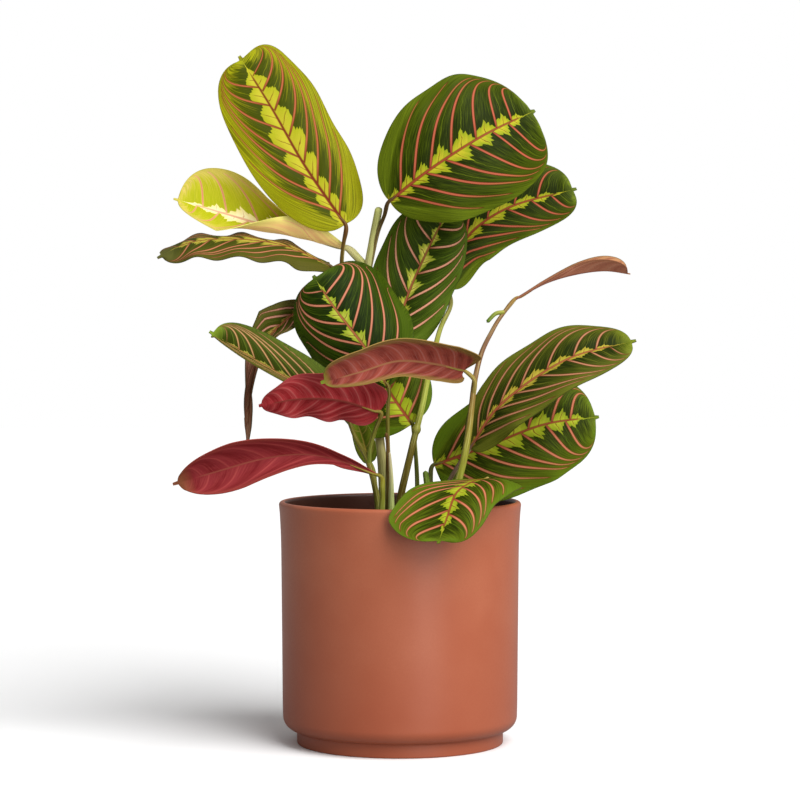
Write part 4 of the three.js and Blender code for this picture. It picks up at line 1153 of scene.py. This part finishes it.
# %% [markdown]
# ## The soil
# Potting mix is dark, damp peat. It could be a flat disc with a bump, but at the lip its unevenness shows,
# so its top is a disc of rings raised by a few crossed waves.

# %% Soil
SOIL_GAP = 0.3
SOIL_LUMP = 0.7
SOIL_GRAIN = 0.35
SOIL_RINGS = 70
SOIL_SIDES = 200
SOIL_EDGE = 0.5


def soil_height(x, y):
    """Height of the soil: the crossed ripples of the plain solid, with finer ones on them."""
    coarse = np.sin(x / 6 + 0.4) * np.cos(y / 7) + 0.6 * np.sin((x + 2 * y) / 9)
    coarse = coarse + 0.4 * np.cos((2 * x - y) / 5 + 1)
    fine = np.sin(x * 1.9 + 2 * np.sin(y)) * np.sin(y * 2.1 + 1.5 * np.sin(x * 0.8))
    return SOIL_TOP + SOIL_LUMP * coarse + SOIL_GRAIN * fine


def soil_mix():
    """Peat and bark: brown to near black, with no shine at all."""
    material, tree, shader = new_material("peat_potting_mix", 0.95, 0.2)
    place = add(tree, "TexCoord")[3]
    crumbs = add(tree, "TexNoise", {"Vector": place, "Scale": 1 / (3 * MM), "Detail": 5.0})[0]
    tone = add(tree, "MapRange", [crumbs, 0.35, 0.7, 0.0, 1.0])[0]
    wire(tree, shader, coats(tree, "#1c120b", (tone, "#4a3324")), crumbs, 0.8, 0.8)
    return material


def soil_body():
    """The soil as a turned solid whose top follows soil_height."""
    low = FOOT_HEIGHT + FLOOR_THICKNESS + SOIL_GAP
    floor_radius = WAIST_RADIUS - WALL - SOIL_GAP - LIP_ROUND
    top_radius = LIP_RADIUS - WALL - SOIL_EDGE
    top = np.stack([np.linspace(top_radius, 0, SOIL_RINGS), np.full(SOIL_RINGS, float(SOIL_TOP))], -1)
    profile = np.concatenate([[(0, low), (floor_radius, low)], top])
    points, faces = turn_profile(profile, SOIL_SIDES)
    on_top = points[:, 2] > SOIL_TOP - 1
    points[on_top, 2] = soil_height(points[on_top, 0], points[on_top, 1])
    return points, faces


mix = soil_mix()
make_piece("soil_surface", *soil_body(), [mix], "potting_soil", "soil")
print("soil top:", SOIL_TOP, "mm")

# %% [markdown]
# ## Crumbs
# Bits of bark lie loose on the mix. Each is an octahedron, the plainest lump, stretched and turned by a
# seeded draw, so that the same crumbs come again each time.

# %% Crumbs
CRUMBS = 900
CRUMB_INSET = 3
CRUMB_MM = (0.5, 1.7)
CRUMB_STRETCH = (0.6, 1.3)
CORNER_STRETCH = (0.75, 1.25)
CRUMB_RISE = 0.2
SEED = 7


def crumb_bodies(count):
    """Lumps of eight faces, each an octahedron stretched and turned at random, partly sunk in the soil."""
    draw = np.random.default_rng(SEED)
    corners = np.array([(1, 0, 0), (0, 1, 0), (-1, 0, 0), (0, -1, 0), (0, 0, 1), (0, 0, -1)], float)
    upper_sides = [(0, 1, 4), (1, 2, 4), (2, 3, 4), (3, 0, 4)]
    sides = np.array(upper_sides + [(b, a, 5) for a, b, _ in upper_sides])
    radius = (LIP_RADIUS - WALL - CRUMB_INSET) * np.sqrt(draw.random(count))
    angle = 2 * np.pi * draw.random(count)
    x, y = radius * np.cos(angle), radius * np.sin(angle)
    size = draw.uniform(*CRUMB_MM, count)[:, None] * draw.uniform(*CRUMB_STRETCH, (count, 3))
    turn = 2 * np.pi * draw.random(count)
    bodies = corners[None] * size[:, None] * draw.uniform(*CORNER_STRETCH, (count, len(corners), 1))
    c, s = np.cos(turn)[:, None], np.sin(turn)[:, None]
    turned = np.stack([c * bodies[..., 0] - s * bodies[..., 1], s * bodies[..., 0] + c * bodies[..., 1],
                       bodies[..., 2]], -1)
    at = np.stack([x, y, soil_height(x, y) + CRUMB_RISE * size[:, 2]], -1)
    faces = sides[None] + len(corners) * np.arange(count)[:, None, None]
    return (turned + at[:, None]).reshape(-1, 3), faces.reshape(-1, 3).tolist()


make_piece("soil_crumbs", *crumb_bodies(CRUMBS), [mix], "potting_soil", sharp=20)
print("crumbs:", CRUMBS)

# %% [markdown]
# ## The floor
# The studio's floor is a plain white sweep. It looks white to the camera, and throws back as little light
# as one that is far larger and mostly unlit.

# %% Floor
FLOOR_SIDE = 8.0
FLOOR_BOUNCE = 0.4

floor_mesh = bpy.data.meshes.new("floor")
reach = FLOOR_SIDE / 2
floor_mesh.from_pydata([(-reach, -reach, 0), (reach, -reach, 0), (reach, reach, 0), (-reach, reach, 0)], [],
                       [(0, 1, 2, 3)])
paper, tree, shader = new_material("white_paper_sweep", 0.9, 0.0)
looked_at = add(tree, "LightPath")[0]
shade = add(tree, "Mix", {0: looked_at, 2: FLOOR_BOUNCE, 3: 1.0})[0]
tree.links.new(shade, shader.inputs["Base Color"])
floor_mesh.materials.append(paper)
floor = bpy.data.objects.new("floor", floor_mesh)
bpy.context.scene.collection.objects.link(floor)
print("floor:", FLOOR_SIDE, "m")

# %% [markdown]
# ## The light
# A large soft key light stands at the right front in an even white surround, and an upright panel nearer
# the camera gives the pot its tall soft glow. A sun with a wide spread does for the key, because it needs
# no distance.

# %% Light
KEY_STRENGTH = 3.2
KEY_SPREAD = 48
KEY_TURN = (43, 0, 42)
SURROUND = 0.32
PANEL_WIDTH = 0.5
PANEL_HEIGHT = 0.9
PANEL_POWER = 8
PANEL_AWAY = 1.5
PANEL_ASIDE = 26


def add_lamp(name, kind, energy, turn):
    """A lamp turned by degrees about X, Y and Z, hidden from the camera. Returns the lamp and its light."""
    light = bpy.data.lights.new(name, kind)
    light.energy = energy
    lamp = bpy.data.objects.new(name, light)
    lamp.rotation_euler = np.radians(turn)
    lamp.visible_camera = False
    bpy.context.scene.collection.objects.link(lamp)
    return lamp, light


key = add_lamp("key", "SUN", KEY_STRENGTH, KEY_TURN)[1]
key.angle = np.radians(KEY_SPREAD)

panel_lamp, panel = add_lamp("panel", "AREA", PANEL_POWER, (90, 0, PANEL_ASIDE))
panel.shape = "RECTANGLE"
panel.size = PANEL_WIDTH
panel.size_y = PANEL_HEIGHT
aside = np.radians(PANEL_ASIDE)
panel_lamp.location = (PANEL_AWAY * np.sin(aside), -PANEL_AWAY * np.cos(aside), PANEL_HEIGHT / 2)

world = bpy.data.worlds.new("surround")
world.use_nodes = True
bpy.context.scene.world = world
tree = world.node_tree
seen = add(tree, "LightPath")[0]
strength = add(tree, "Mix", {0: seen, 2: SURROUND, 3: 1.0})[0]
surround = tree.nodes["Background"]
surround.inputs["Color"].default_value = (1, 1, 1, 1)
tree.links.new(strength, surround.inputs["Strength"])
bpy.context.scene.view_settings.view_transform = "Standard"

print("lamps:", len(bpy.data.lights))
